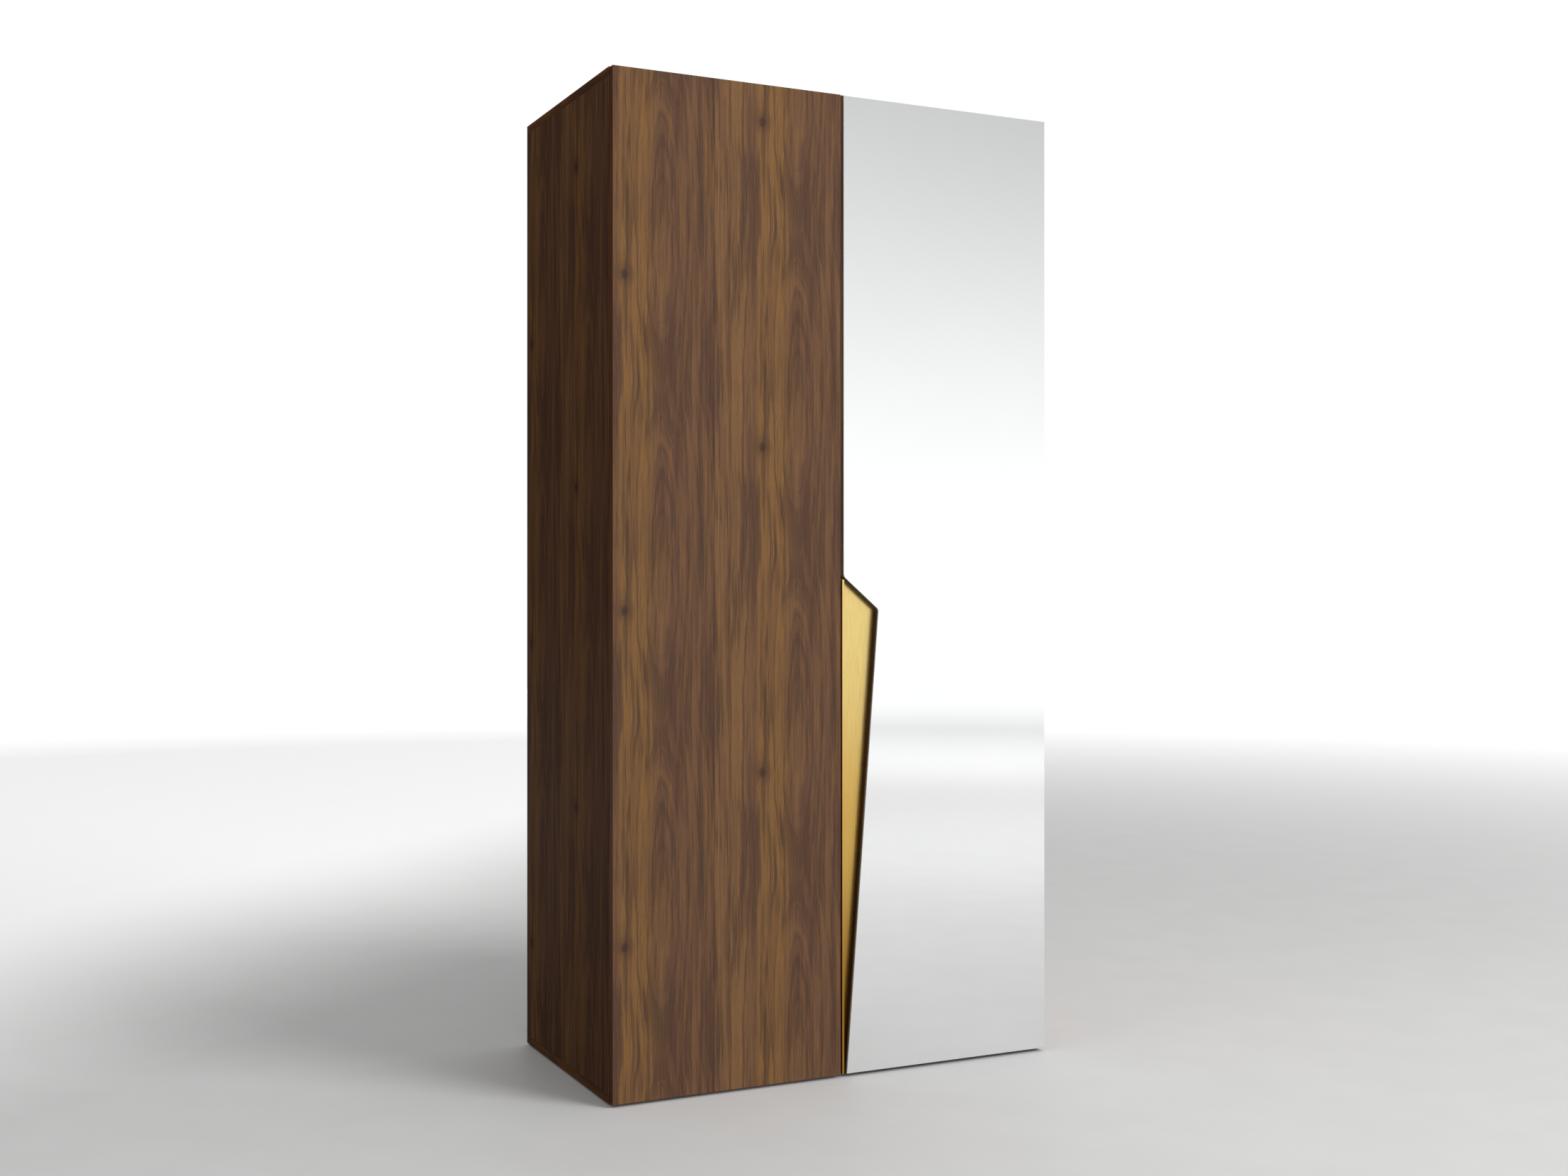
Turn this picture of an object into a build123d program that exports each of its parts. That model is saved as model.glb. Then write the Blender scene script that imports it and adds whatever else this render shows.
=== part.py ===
"""Two-door armoire with a plain door, a mirror door and a tapering finger recess.

Frame: origin at the middle of the footprint on the floor, +X to the right seen from the front,
+Y from the doors to the back, +Z up. Millimetres.
"""
from build123d import *
import os

os.makedirs("parts", exist_ok=True)

# ---- Driving dimensions ----
width = 1040
depth = 565
height = 2110
board = 18
glide_height = 4
door_thickness = 20
door_to_carcass = 2.5
door_reveal = 3
door_gap = 3
arris = 0.6

back_thickness = 3
groove_width = 3.4
groove_depth = 7
groove_inset = 12
fit_gap = 0.5

mirror_thickness = 4
mirror_inset = 1
mirror_grip_inset = 4
mirror_margin = 2

# The finger recess: heights are above the door's bottom edge, offsets are from its free edge.
recess_foot_offset = 9.8
recess_corner_offset = 86.7
recess_corner_height = 995.7
recess_apex_height = 1068.7
recess_slope = (recess_apex_height - recess_corner_height) / recess_corner_offset
recess_lean = (recess_corner_offset - recess_foot_offset) / recess_corner_height
recess_corner_radius = 8.5
recess_apex_radius = 11
recess_floor_depth = 18
recess_plate_thickness = 2
recess_flange = 14
recess_rise = 16
lip_offset = 1.5
lip_width = 5
lip_setback = 1.5
lip_top_height = 1061

pin_pitch = 32
first_pin_height = 30
shelf_steps = (9, 20, 33, 43)
shelf_depth = 500
shelf_front_inset = 10
hat_shelf_height = 1790
shelf_pin_radius = 2.5
shelf_pin_inset = 50

cam_radius = 7.3
cam_length = 13.3
cam_from_end = 34
cam_bolt_depth = 9
bolt_radius = 3.2
bolt_thread_radius = 2.5
bolt_thread_length = 10
dowel_radius = 4
dowel_length = 29
joint_from_edge = 60

rail_height = 30
rail_width = 15
rail_wall = 1.5
rail_drop = 60

rail_screw_reach = 21
socket_length = 58
socket_width = 24
socket_base = 3
socket_rim = 13

screw_radius = 1.7
pilot_radius = 1.75
screw_clearance_radius = 2
pan_head_radius = 3.6
pan_head_height = 1.8
flat_head_radius = 3.4

glide_radius = 12
glide_inset = 45
glide_nail_radius = 1.25
bumper_radius = 4
bumper_height = 2
bumper_offset = 30
bracket_width = 30
bracket_leg = 40
bracket_thickness = 2
bracket_hole = 26
bracket_screw_offset = 8
wall_hole_radius = 4

hinge_heights = (100, 575, 1050, 1525, 2000)
hinge_pin_offset = 6
hinge_pin_depth = 10.5
hinge_pin_radius = 1.4
hinge_clearance = 0.05
knuckle_radius = 2.5
arm_width = 10
arm_thickness = 2.6
arm_reach = 14
cup_radius = 17.4
cup_edge = 2.5
cup_depth = 13.2
cup_hole_depth = 13.5
cup_slot_width = 11.2
plate_thickness = 2.5
plate_screw_spacing = 32
plate_line = 37
plate_half_width = 8
plate_half_height = 24
plate_span = (20, 60)
arm_screw_lines = (26, 50)
hinge_pin_half = 8
cup_flange_half_height = 30
cup_screw_offset = 24
cup_screw_line = 9.5

# ---- Derived planes and places ----
half_width = width / 2
door_front = -depth / 2
door_back = door_front + door_thickness
carcass_front = door_back + door_to_carcass
carcass_back = depth / 2
carcass_middle = (carcass_front + carcass_back) / 2
inner_x = half_width - board
bay_edge = board / 2
bay_width = inner_x - bay_edge
bay_middle = (inner_x + bay_edge) / 2
inner_bottom = glide_height + board
inner_top = height - board
rail_level = hat_shelf_height - rail_drop
groove_y = carcass_back - groove_inset - groove_width / 2
back_front_y = groove_y - back_thickness / 2
door_bottom = glide_height + door_reveal
door_top = height - door_reveal
free_edge = door_gap / 2
rail_screw_rows = (carcass_middle - rail_screw_reach, carcass_middle + rail_screw_reach)
cam_rows = (carcass_front + joint_from_edge, carcass_middle, carcass_back - joint_from_edge)
dowel_rows = (carcass_front + joint_from_edge + pin_pitch, carcass_back - joint_from_edge - pin_pitch)
shelf_bolt_rows = {
    -1: (carcass_front + joint_from_edge, carcass_back - joint_from_edge - pin_pitch),
    1: (carcass_front + joint_from_edge + pin_pitch, carcass_back - joint_from_edge - 2 * pin_pitch),
}
pin_rows = (carcass_front + shelf_pin_inset,
            carcass_front + shelf_front_inset + shelf_depth - shelf_pin_inset)
pin_levels = [inner_bottom + first_pin_height + step * pin_pitch for step in shelf_steps]
pin_x = half_width - hinge_pin_offset
pin_y = door_back - hinge_pin_depth
hinge_levels = [door_bottom + level for level in hinge_heights]
hinge_screw_levels = [level + offset for level in hinge_levels
                      for offset in (-plate_screw_spacing / 2, plate_screw_spacing / 2)]
shelf_hole_levels = [level + offset for level in pin_levels for offset in (-pin_pitch, 0, pin_pitch)]
cup_middle = half_width - cup_edge - cup_radius
mirror_margin_rise = mirror_margin * (1 + recess_slope**2) ** 0.5

UP = Vector(0, 0, 1)
DOWN = Vector(0, 0, -1)
FORWARD = Vector(0, -1, 0)
BACKWARD = Vector(0, 1, 0)


def across(side):
    """Unit vector towards the outside of the left (-1) or right (1) half."""
    return Vector(side, 0, 0)


def facing(points, direction):
    """Planes at the points whose normals look along the direction."""
    return [Plane(origin=point, z_dir=direction) for point in points]


def drill(points, direction, radius, hole_depth):
    """Blind round holes in the current piece, going in against the direction."""
    with Locations(*facing(points, direction)):
        Hole(radius, hole_depth)


def rod(points, direction, radius, length, mode=Mode.ADD):
    """Round rods in the current piece that start at the points and run along the direction."""
    with Locations(*facing(points, direction)):
        Cylinder(radius, length, align=(Align.CENTER, Align.CENTER, Align.MIN), mode=mode)


def slab(x_range, y_range, z_range, mode=Mode.ADD):
    """A rectangular block in the current piece between the given limits."""
    sizes = [abs(limits[1] - limits[0]) for limits in (x_range, y_range, z_range)]
    middle = [(limits[0] + limits[1]) / 2 for limits in (x_range, y_range, z_range)]
    with Locations(tuple(middle)):
        Box(*sizes, mode=mode)


def finish(piece, name):
    """Label a piece and write it to its own file."""
    piece.part.label = name
    export_step(piece.part, f"parts/{name}.step")


def cross(*lists):
    """Every combination of one value from each list, as points."""
    points = [()]
    for values in lists:
        points = [point + (value,) for point in points for value in values]
    return points


def side_name(side):
    return "left" if side < 0 else "right"


# ---- Joinery positions shared by the panels ----
upright_x = {-1: -half_width + cam_bolt_depth, 0: 0, 1: half_width - cam_bolt_depth}
cam_levels = {1: inner_top - cam_from_end, -1: inner_bottom + cam_from_end}
end_levels = {1: inner_top, -1: inner_bottom}
cam_face = {-1: -inner_x, 0: bay_edge, 1: inner_x}
cam_out = {-1: Vector(1, 0, 0), 0: Vector(1, 0, 0), 1: Vector(-1, 0, 0)}


def drill_upright(upright):
    """Cam, bolt and dowel holes of one upright: -1 left side, 0 partition, 1 right side."""
    for end in (-1, 1):
        direction = UP * end
        drill(cross([cam_face[upright]], cam_rows, [cam_levels[end]]), cam_out[upright],
              cam_radius + 0.1, cam_length + 0.1)
        drill(cross([upright_x[upright]], cam_rows, [end_levels[end]]), direction,
              bolt_radius + 0.2, cam_from_end)
        drill(cross([upright_x[upright]], dowel_rows, [end_levels[end]]), direction,
              dowel_radius, dowel_length - bolt_thread_length + 0.5)


def drill_cap(end):
    """Bolt and dowel holes of the top (1) or bottom (-1) panel."""
    direction = UP * -end
    places = list(upright_x.values())
    drill(cross(places, cam_rows, [end_levels[end]]), direction, bolt_thread_radius, bolt_thread_length)
    drill(cross(places, dowel_rows, [end_levels[end]]), direction, dowel_radius, bolt_thread_length)


def drill_shelf_bolts(face_x, out, bay):
    """Threaded holes for the hat shelf's bolts in an upright's face."""
    level = hat_shelf_height + cam_bolt_depth
    drill(cross([face_x], shelf_bolt_rows[bay], [level]), out, bolt_thread_radius, 8)


# ---- Side panels ----
for side in (-1, 1):
    with BuildPart() as side_panel:
        slab((side * inner_x, side * half_width), (carcass_front, carcass_back), (inner_bottom, inner_top))
        slab((side * inner_x, side * (inner_x + groove_depth)),
             (groove_y - groove_width / 2, groove_y + groove_width / 2),
             (inner_bottom, inner_top), mode=Mode.SUBTRACT)
        drill_upright(side)
        drill_shelf_bolts(side * inner_x, across(-side), side)
        drill(cross([side * inner_x], [carcass_front + plate_line], hinge_screw_levels),
              across(-side), pilot_radius, 12)
        if side < 0:
            drill(cross([-inner_x], pin_rows, shelf_hole_levels), across(1), shelf_pin_radius + 0.05, 10)
        else:
            drill(cross([inner_x], rail_screw_rows, [rail_level]), across(-1), pilot_radius, 12)
    finish(side_panel, f"side_panel_{side_name(side)}")

# ---- Centre partition ----
with BuildPart() as partition:
    slab((-bay_edge, bay_edge), (carcass_front, carcass_back), (inner_bottom, inner_top))
    for side in (-1, 1):
        slab((side * bay_edge, side * (bay_edge - groove_depth)),
             (groove_y - groove_width / 2, groove_y + groove_width / 2),
             (inner_bottom, inner_top), mode=Mode.SUBTRACT)
        drill_shelf_bolts(side * bay_edge, across(side), side)
    drill_upright(0)
    drill(cross([-bay_edge], pin_rows, shelf_hole_levels), across(-1), shelf_pin_radius + 0.05, 10)
    drill(cross([bay_edge], rail_screw_rows, [rail_level]), across(1), pilot_radius, 12)
finish(partition, "centre_partition")

# ---- Top and bottom panels ----
glide_places = cross((glide_inset - half_width, 0, half_width - glide_inset),
                     (carcass_front + glide_inset, carcass_back - glide_inset), [glide_height])
bracket_screw_places = [(side * bay_middle + offset, back_front_y - bracket_hole, inner_top)
                        for side in (-1, 1) for offset in (-bracket_screw_offset, bracket_screw_offset)]
for end, name in ((1, "top_panel"), (-1, "bottom_panel")):
    low, high = (inner_top, height) if end > 0 else (glide_height, inner_bottom)
    with BuildPart() as cap:
        slab((-half_width, half_width), (carcass_front, carcass_back), (low, high))
        for side in (-1, 1):
            slab((side * (bay_edge - groove_depth), side * (inner_x + groove_depth)),
                 (groove_y - groove_width / 2, groove_y + groove_width / 2),
                 (end_levels[end], end_levels[end] + end * groove_depth), mode=Mode.SUBTRACT)
        drill_cap(end)
        if end > 0:
            drill(bracket_screw_places, DOWN, pilot_radius, 13)
        else:
            drill(glide_places, DOWN, glide_nail_radius + 0.05, 13)
    finish(cap, name)

# ---- Back panels, in their grooves, with a hole for the wall screw ----
wall_screw_level = inner_top - bracket_hole
for side in (-1, 1):
    reach = groove_depth - fit_gap
    with BuildPart() as back:
        slab((side * (bay_edge - reach), side * (inner_x + reach)),
             (back_front_y, back_front_y + back_thickness),
             (inner_bottom - reach, inner_top + reach))
        drill([(side * bay_middle, back_front_y, wall_screw_level)], FORWARD, wall_hole_radius,
              back_thickness + 1)
    finish(back, f"back_panel_{side_name(side)}")

# ---- Hat shelves, fixed with cams from below ----
hat_front = carcass_front + shelf_front_inset
hat_back = back_front_y - fit_gap
for side in (-1, 1):
    with BuildPart() as hat_shelf:
        slab((side * (bay_edge + 0.1), side * (inner_x - 0.1)), (hat_front, hat_back),
             (hat_shelf_height, hat_shelf_height + board))
        for face_x, out in ((side * (bay_edge + 0.1), -side), (side * (inner_x - 0.1), side)):
            cam_x = face_x - out * cam_from_end
            level = hat_shelf_height + cam_bolt_depth
            drill(cross([cam_x], shelf_bolt_rows[side], [hat_shelf_height]), DOWN,
                  cam_radius + 0.1, cam_length + 0.1)
            drill(cross([face_x], shelf_bolt_rows[side], [level]), across(out),
                  bolt_radius + 0.2, cam_from_end)
    finish(hat_shelf, f"hat_shelf_{side_name(side)}")

# ---- Adjustable shelves on pins, in the left bay ----
for number, level in enumerate(pin_levels, start=1):
    underside = level + shelf_pin_radius
    with BuildPart() as shelf:
        slab((-inner_x + 0.8, -bay_edge - 0.8), (hat_front, hat_front + shelf_depth),
             (underside, underside + board))
        fillet(shelf.edges().filter_by(Axis.X).sort_by(Axis.Y)[:2], arris)
    finish(shelf, f"adjustable_shelf_{number}")

with BuildPart() as shelf_pins:
    for face_x, out in ((-inner_x, 1), (-bay_edge, -1)):
        rod([(face_x - out * 9, y, z) for y in pin_rows for z in pin_levels],
            across(out), shelf_pin_radius, 17)
        rod(cross([face_x], pin_rows, pin_levels), across(out), 4, 0.6)
finish(shelf_pins, "shelf_pins")

# ---- Hanging rail between two sockets, in the right bay ----
rail_faces = ((bay_edge, 1), (inner_x, -1))
rail_plane = Plane(origin=(bay_edge + 3.2, 0, 0), x_dir=(0, 1, 0), z_dir=(1, 0, 0))
with BuildPart() as hanging_rail:
    with BuildSketch(rail_plane):
        with Locations((carcass_middle, rail_level)):
            SlotOverall(rail_height, rail_width, rotation=90)
            SlotOverall(rail_height - 2 * rail_wall, rail_width - 2 * rail_wall, rotation=90,
                        mode=Mode.SUBTRACT)
    extrude(amount=bay_width - 6.4)
finish(hanging_rail, "hanging_rail")

for (face_x, out), name in zip(rail_faces, ("inner", "outer")):
    socket_plane = Plane(origin=(face_x, 0, 0), x_dir=(0, 1, 0), z_dir=(1, 0, 0))
    with BuildPart() as rail_socket:
        with BuildSketch(socket_plane):
            with Locations((carcass_middle, rail_level)):
                SlotOverall(socket_length, socket_width)
            with Locations(*[(row, rail_level) for row in rail_screw_rows]):
                Circle(screw_clearance_radius, mode=Mode.SUBTRACT)
        extrude(amount=out * socket_base)
        with BuildSketch(socket_plane):
            with Locations((carcass_middle, rail_level)):
                SlotOverall(rail_height + 4.4, rail_width + 4.4, rotation=90)
                SlotOverall(rail_height + 0.4, rail_width + 0.4, rotation=90, mode=Mode.SUBTRACT)
        extrude(amount=out * socket_rim)
    finish(rail_socket, f"rail_socket_{name}")

with BuildPart() as rail_screws:
    for face_x, out in rail_faces:
        rod(cross([face_x - out * 11], rail_screw_rows, [rail_level]), across(out),
            screw_radius, 11 + socket_base)
        rod(cross([face_x + out * socket_base], rail_screw_rows, [rail_level]), across(out),
            pan_head_radius, pan_head_height)
finish(rail_screws, "rail_screws")

# ---- Cam locks, their bolts and the dowels ----
cam_sets = []
for upright in (-1, 0, 1):
    for end in (-1, 1):
        for row in cam_rows:
            cam_sets.append((Vector(cam_face[upright], row, cam_levels[end]), cam_out[upright], UP * end))
for side in (-1, 1):
    for face_x, out in ((side * (bay_edge + 0.1), -side), (side * (inner_x - 0.1), side)):
        for row in shelf_bolt_rows[side]:
            cam_sets.append((Vector(face_x - out * cam_from_end, row, hat_shelf_height),
                             DOWN, across(out)))

with BuildPart() as cam_locks:
    for face, out, run in cam_sets:
        rod([face - out * cam_length], out, cam_radius, cam_length)
    for face, out, run in cam_sets:
        rod([face - out * cam_bolt_depth - run * 4], run, bolt_radius + 0.3, cam_radius + 5,
            mode=Mode.SUBTRACT)
        slot_plane = Plane(origin=face, z_dir=out)
        with Locations(slot_plane):
            Box(8, 1.6, 3, mode=Mode.SUBTRACT)
            Box(1.6, 8, 3, mode=Mode.SUBTRACT)
finish(cam_locks, "cam_locks")

with BuildPart() as cam_bolts:
    for face, out, run in cam_sets:
        axis_point = face - out * cam_bolt_depth
        reach = 8 if abs(run.X) > 0.5 else bolt_thread_length
        gap_to_face = 0.1 if abs(run.X) > 0.5 else 0
        rod([axis_point - run * 3], run, bolt_radius, cam_from_end + 3)
        rod([axis_point + run * cam_from_end], run, bolt_thread_radius - 0.05, reach + gap_to_face - 0.2)
finish(cam_bolts, "cam_bolts")

with BuildPart() as dowels:
    for end in (-1, 1):
        starts = [(x, y, end_levels[end] + end * (bolt_thread_length - 0.3))
                  for x in upright_x.values() for y in dowel_rows]
        rod(starts, UP * -end, dowel_radius - 0.05, dowel_length)
finish(dowels, "dowels")

# ---- Glides nailed under the bottom panel ----
with BuildPart() as glides:
    rod([(x, y, 0) for x, y, _ in glide_places], UP, glide_radius, glide_height)
    fillet(glides.edges().filter_by(GeomType.CIRCLE).group_by(Axis.Z)[0], 1)
    rod([(x, y, 1) for x, y, _ in glide_places], UP, glide_nail_radius, 14)
finish(glides, "glides")

# ---- Door bumpers on the carcass front edge ----
with BuildPart() as bumpers:
    rod(cross((-bumper_offset, bumper_offset), [carcass_front],
              (glide_height + board / 2, height - board / 2)),
        FORWARD, bumper_radius, bumper_height)
    fillet(bumpers.edges().filter_by(GeomType.CIRCLE).group_by(Axis.Y)[0], 0.8)
finish(bumpers, "door_bumpers")

# ---- Wall brackets against tipping, under the top panel ----
with BuildPart() as wall_brackets:
    for side in (-1, 1):
        middle = side * bay_middle
        slab((middle - bracket_width / 2, middle + bracket_width / 2),
             (back_front_y - bracket_leg, back_front_y), (inner_top - bracket_thickness, inner_top))
        slab((middle - bracket_width / 2, middle + bracket_width / 2),
             (back_front_y - bracket_thickness, back_front_y), (inner_top - bracket_leg, inner_top))
    drill([(side * bay_middle, back_front_y, wall_screw_level) for side in (-1, 1)], BACKWARD, 3, 5)
    drill(bracket_screw_places, UP, screw_clearance_radius, 5)
finish(wall_brackets, "wall_brackets")

with BuildPart() as bracket_screws:
    rod([(x, y, inner_top - bracket_thickness) for x, y, _ in bracket_screw_places], UP,
        screw_radius, 14)
    rod([(x, y, inner_top - bracket_thickness - pan_head_height) for x, y, _ in bracket_screw_places], UP,
        pan_head_radius, pan_head_height)
finish(bracket_screws, "bracket_screws")


# ---- Doors ----
def recess_outline(edge_x, foot_z, shift=0, rise=0):
    """Corners of the tapering recess on the right door, from the foot up to the apex.

    edge_x is where its left side stands and foot_z its lower end. shift moves the long side
    outwards and rise moves the slanted top upwards.
    """
    foot_x = free_edge + recess_foot_offset + shift
    apex_z = door_bottom + recess_apex_height + rise
    corner_x = foot_x + recess_lean * (recess_apex_height + rise + recess_slope * free_edge)
    corner_x = corner_x / (1 + recess_lean * recess_slope)
    corner_z = apex_z - recess_slope * (corner_x - free_edge)
    return [(foot_x + recess_lean * (foot_z - door_bottom), foot_z), (corner_x, corner_z),
            (edge_x, apex_z - recess_slope * (edge_x - free_edge))]


def leaf_outline(left_x, right_x, low_z, high_z, shift=0, rise=0):
    """Corners of a sheet of the right door, cut out along the recess."""
    foot, corner, apex = recess_outline(left_x, low_z, shift, rise)
    return [foot, corner, apex, (left_x, high_z), (right_x, high_z), (right_x, low_z)]


def front_plane(y):
    """A plane at that depth that faces the front, whose axes are the frame's X and Z."""
    return Plane(origin=(0, y, 0), x_dir=(1, 0, 0), z_dir=(0, -1, 0))


def round_recess(face, outline, margin=0):
    """Round a sheet's two corners at the top of the recess."""
    for (x, z), radius in zip(outline[1:3], (recess_corner_radius, recess_apex_radius)):
        fillet(face.vertices().sort_by_distance((x, z, 0))[:1], radius + margin)


def cup_places(side):
    """Points on a door's back face at the middle of each hinge cup."""
    return cross([side * cup_middle], [door_back], hinge_levels)


def cup_screw_places(side):
    """Points on a door's back face where the cup flanges are screwed."""
    screw_x = side * (cup_middle - cup_screw_line)
    return [(screw_x, door_back, level + offset) for level in hinge_levels
            for offset in (-cup_screw_offset, cup_screw_offset)]


def drill_hinge_seats(side):
    """Cup and screw holes in a door's back face."""
    drill(cup_places(side), BACKWARD, cup_radius + 0.1, cup_hole_depth)
    drill(cup_screw_places(side), BACKWARD, pilot_radius, 10.5)


with BuildPart() as plain_door:
    slab((-half_width, -free_edge), (door_front, door_back), (door_bottom, door_top))
    fillet(plain_door.faces().sort_by(Axis.Y)[0].edges(), arris)
    drill_hinge_seats(-1)
finish(plain_door, "plain_door")

carrier_front = door_front + mirror_thickness
recess_floor = door_front + recess_floor_depth
plate_screw_heights = [60 + 175 * step for step in range(6)]
plate_screw_places = [(free_edge + recess_foot_offset + 8 + recess_lean * rise, door_back, door_bottom + rise)
                      for rise in plate_screw_heights]
with BuildPart() as mirror_carrier:
    outline = leaf_outline(free_edge, half_width, door_bottom, door_top)
    with BuildSketch(front_plane(door_back)) as carrier_face:
        Polygon(*outline, align=None)
        round_recess(carrier_face, outline)
    extrude(amount=door_thickness - mirror_thickness)
    rebate = recess_outline(free_edge - 1, door_bottom - 1, recess_flange + 0.3, recess_rise + 0.3)
    with BuildSketch(front_plane(door_back)):
        Polygon((free_edge - 1, door_bottom - 1), *rebate, align=None)
    extrude(amount=recess_plate_thickness, mode=Mode.SUBTRACT)
    drill(plate_screw_places, BACKWARD, 1.55, 11.5)
    drill_hinge_seats(1)
finish(mirror_carrier, "mirror_door_carrier")

# The mirror stops short of the recess, so a rim of the carrier shows along it.
with BuildPart() as mirror:
    outline = leaf_outline(free_edge + mirror_grip_inset, half_width - mirror_inset,
                           door_bottom + mirror_inset, door_top - mirror_inset,
                           mirror_margin, mirror_margin_rise)
    with BuildSketch(front_plane(carrier_front)) as mirror_face:
        Polygon(*outline, align=None)
        round_recess(mirror_face, outline, mirror_margin)
    extrude(amount=mirror_thickness)
finish(mirror, "mirror_glass")

# ---- Gilt recess floor and lip ----
plate_left = free_edge + 0.5
lip_x = free_edge + lip_offset + lip_width / 2
lip_screw_places = [(lip_x, door_back, door_bottom + 50 + 160 * step) for step in range(7)]
with BuildPart() as recess_plate:
    outline = recess_outline(plate_left, door_bottom + 1, recess_flange, recess_rise)
    with BuildSketch(front_plane(door_back)):
        Polygon((plate_left, door_bottom + 1), *outline, align=None)
    extrude(amount=recess_plate_thickness)
    drill(plate_screw_places, BACKWARD, 1.6, 5)
    drill(lip_screw_places, BACKWARD, 1.3, 5)
finish(recess_plate, "recess_floor_plate")

with BuildPart() as recess_lip:
    slab((lip_x - lip_width / 2, lip_x + lip_width / 2), (door_front + lip_setback, recess_floor),
         (door_bottom + 1, door_bottom + lip_top_height))
    fillet(recess_lip.edges().filter_by(Axis.Z), arris)
    drill([(x, recess_floor, z) for x, _, z in lip_screw_places], BACKWARD, 1.3, 9)
finish(recess_lip, "recess_lip")

with BuildPart() as lip_screws:
    rod([(x, door_back + 1, z) for x, _, z in lip_screw_places], FORWARD, 2.2, 1)
    rod([(x, door_back, z) for x, _, z in lip_screw_places], FORWARD, 1.25, 10)
finish(lip_screws, "recess_lip_screws")

with BuildPart() as plate_screws:
    rod([(x, door_back + 1, z) for x, _, z in plate_screw_places], FORWARD, 2.6, 1)
    rod([(x, door_back, z) for x, _, z in plate_screw_places], FORWARD, 1.5, 11)
finish(plate_screws, "recess_plate_screws")


# ---- Concealed hinges, five on each door ----
def plan_points(side, points):
    """Points given as (in from the outer face, back from the carcass front), in the frame's X and Y."""
    return [(side * (half_width - inward), carcass_front + back) for inward, back in points]


for side in (-1, 1):
    name = side_name(side)
    pin_back = pin_y - carcass_front
    arm_line = hinge_pin_offset + arm_reach
    raised_line = board + plate_thickness + arm_thickness / 2
    arm_path = plan_points(side, [(hinge_pin_offset, pin_back), (arm_line, pin_back), (arm_line, 6),
                                  (raised_line, 16), (raised_line, 58)])

    with BuildPart() as arms:
        for level in hinge_levels:
            with BuildSketch(Plane.XY.offset(level - arm_width / 2)):
                with BuildLine():
                    FilletPolyline(*arm_path, radius=3)
                trace(line_width=arm_thickness)
                with Locations(arm_path[0]):
                    Circle(knuckle_radius)
                    Circle(hinge_pin_radius + hinge_clearance, mode=Mode.SUBTRACT)
            extrude(amount=arm_width)
        arm_screw_places = [(side * (inner_x - plate_thickness), carcass_front + line, level)
                            for level in hinge_levels for line in arm_screw_lines]
        drill([(x - side * arm_thickness, y, z) for x, y, z in arm_screw_places], across(-side), 2.1, 3)
    finish(arms, f"hinge_arms_{name}")

    with BuildPart() as plates:
        for level in hinge_levels:
            slab((side * inner_x, side * (inner_x - plate_thickness)),
                 [carcass_front + line for line in plate_span], (level - 7, level + 7))
            slab((side * inner_x, side * (inner_x - plate_thickness)),
                 (carcass_front + plate_line - plate_half_width,
                  carcass_front + plate_line + plate_half_width),
                 (level - plate_half_height, level + plate_half_height))
        fillet(plates.edges().filter_by(Axis.X), 2)
        plate_screw_points = cross([side * (inner_x - plate_thickness)], [carcass_front + plate_line],
                                   hinge_screw_levels)
        drill(plate_screw_points + arm_screw_places, across(-side), pilot_radius, 5)
    finish(plates, f"hinge_plates_{name}")

    with BuildPart() as root_screws:
        rod([(x + side * 2.3, y, z) for x, y, z in arm_screw_places], across(-side), screw_radius,
            2.3 + arm_thickness)
        rod([(x - side * arm_thickness, y, z) for x, y, z in arm_screw_places], across(-side),
            flat_head_radius, 1.6)
        rod([(x + side * (plate_thickness + 11), y, z) for x, y, z in plate_screw_points], across(-side),
            screw_radius, plate_thickness + 11)
        rod(plate_screw_points, across(-side), flat_head_radius, 1.6)
    finish(root_screws, f"hinge_plate_screws_{name}")

    slot_outer = side * (half_width + 1)
    slot_inner = side * (half_width - 22)
    with BuildPart() as cups:
        rod([(side * cup_middle, door_back, z) for z in hinge_levels], FORWARD, cup_radius, cup_depth)
        for level in hinge_levels:
            slab((side * (half_width - 13), side * (half_width - 37)), (door_back, door_back + 1),
                 (level - cup_flange_half_height, level + cup_flange_half_height))
        fillet(cups.edges().filter_by(Axis.Y).filter_by(lambda edge: edge.length < 1.5), 5)
        rod([(side * cup_middle, door_back, z) for z in hinge_levels], BACKWARD, cup_radius + 1.4, 1)
        for level in hinge_levels:
            slab((side * (half_width - 10), side * (half_width - 34)),
                 (door_back - cup_depth + 1, door_back + 2), (level - 8.5, level + 8.5), mode=Mode.SUBTRACT)
            slab((slot_outer, slot_inner), (door_back - cup_depth - 1, door_back + 2),
                 (level - cup_slot_width / 2, level + cup_slot_width / 2), mode=Mode.SUBTRACT)
        drill(cross([side * pin_x], [pin_y], [level + hinge_pin_half for level in hinge_levels]), UP,
              hinge_pin_radius, 2 * hinge_pin_half)
        drill([(x, y + 1, z) for x, y, z in cup_screw_places(side)], BACKWARD, pilot_radius, 3)
    finish(cups, f"hinge_cups_{name}")

    with BuildPart() as pins:
        rod(cross([side * pin_x], [pin_y], [level - hinge_pin_half for level in hinge_levels]), UP,
            hinge_pin_radius, 2 * hinge_pin_half)
    finish(pins, f"hinge_pins_{name}")

    with BuildPart() as cup_screws:
        rod([(x, door_back + 2.4, z) for x, _, z in cup_screw_places(side)], FORWARD, flat_head_radius, 1.4)
        rod([(x, door_back + 1, z) for x, _, z in cup_screw_places(side)], FORWARD, screw_radius, 11)
    finish(cup_screws, f"cup_screws_{name}")
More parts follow.
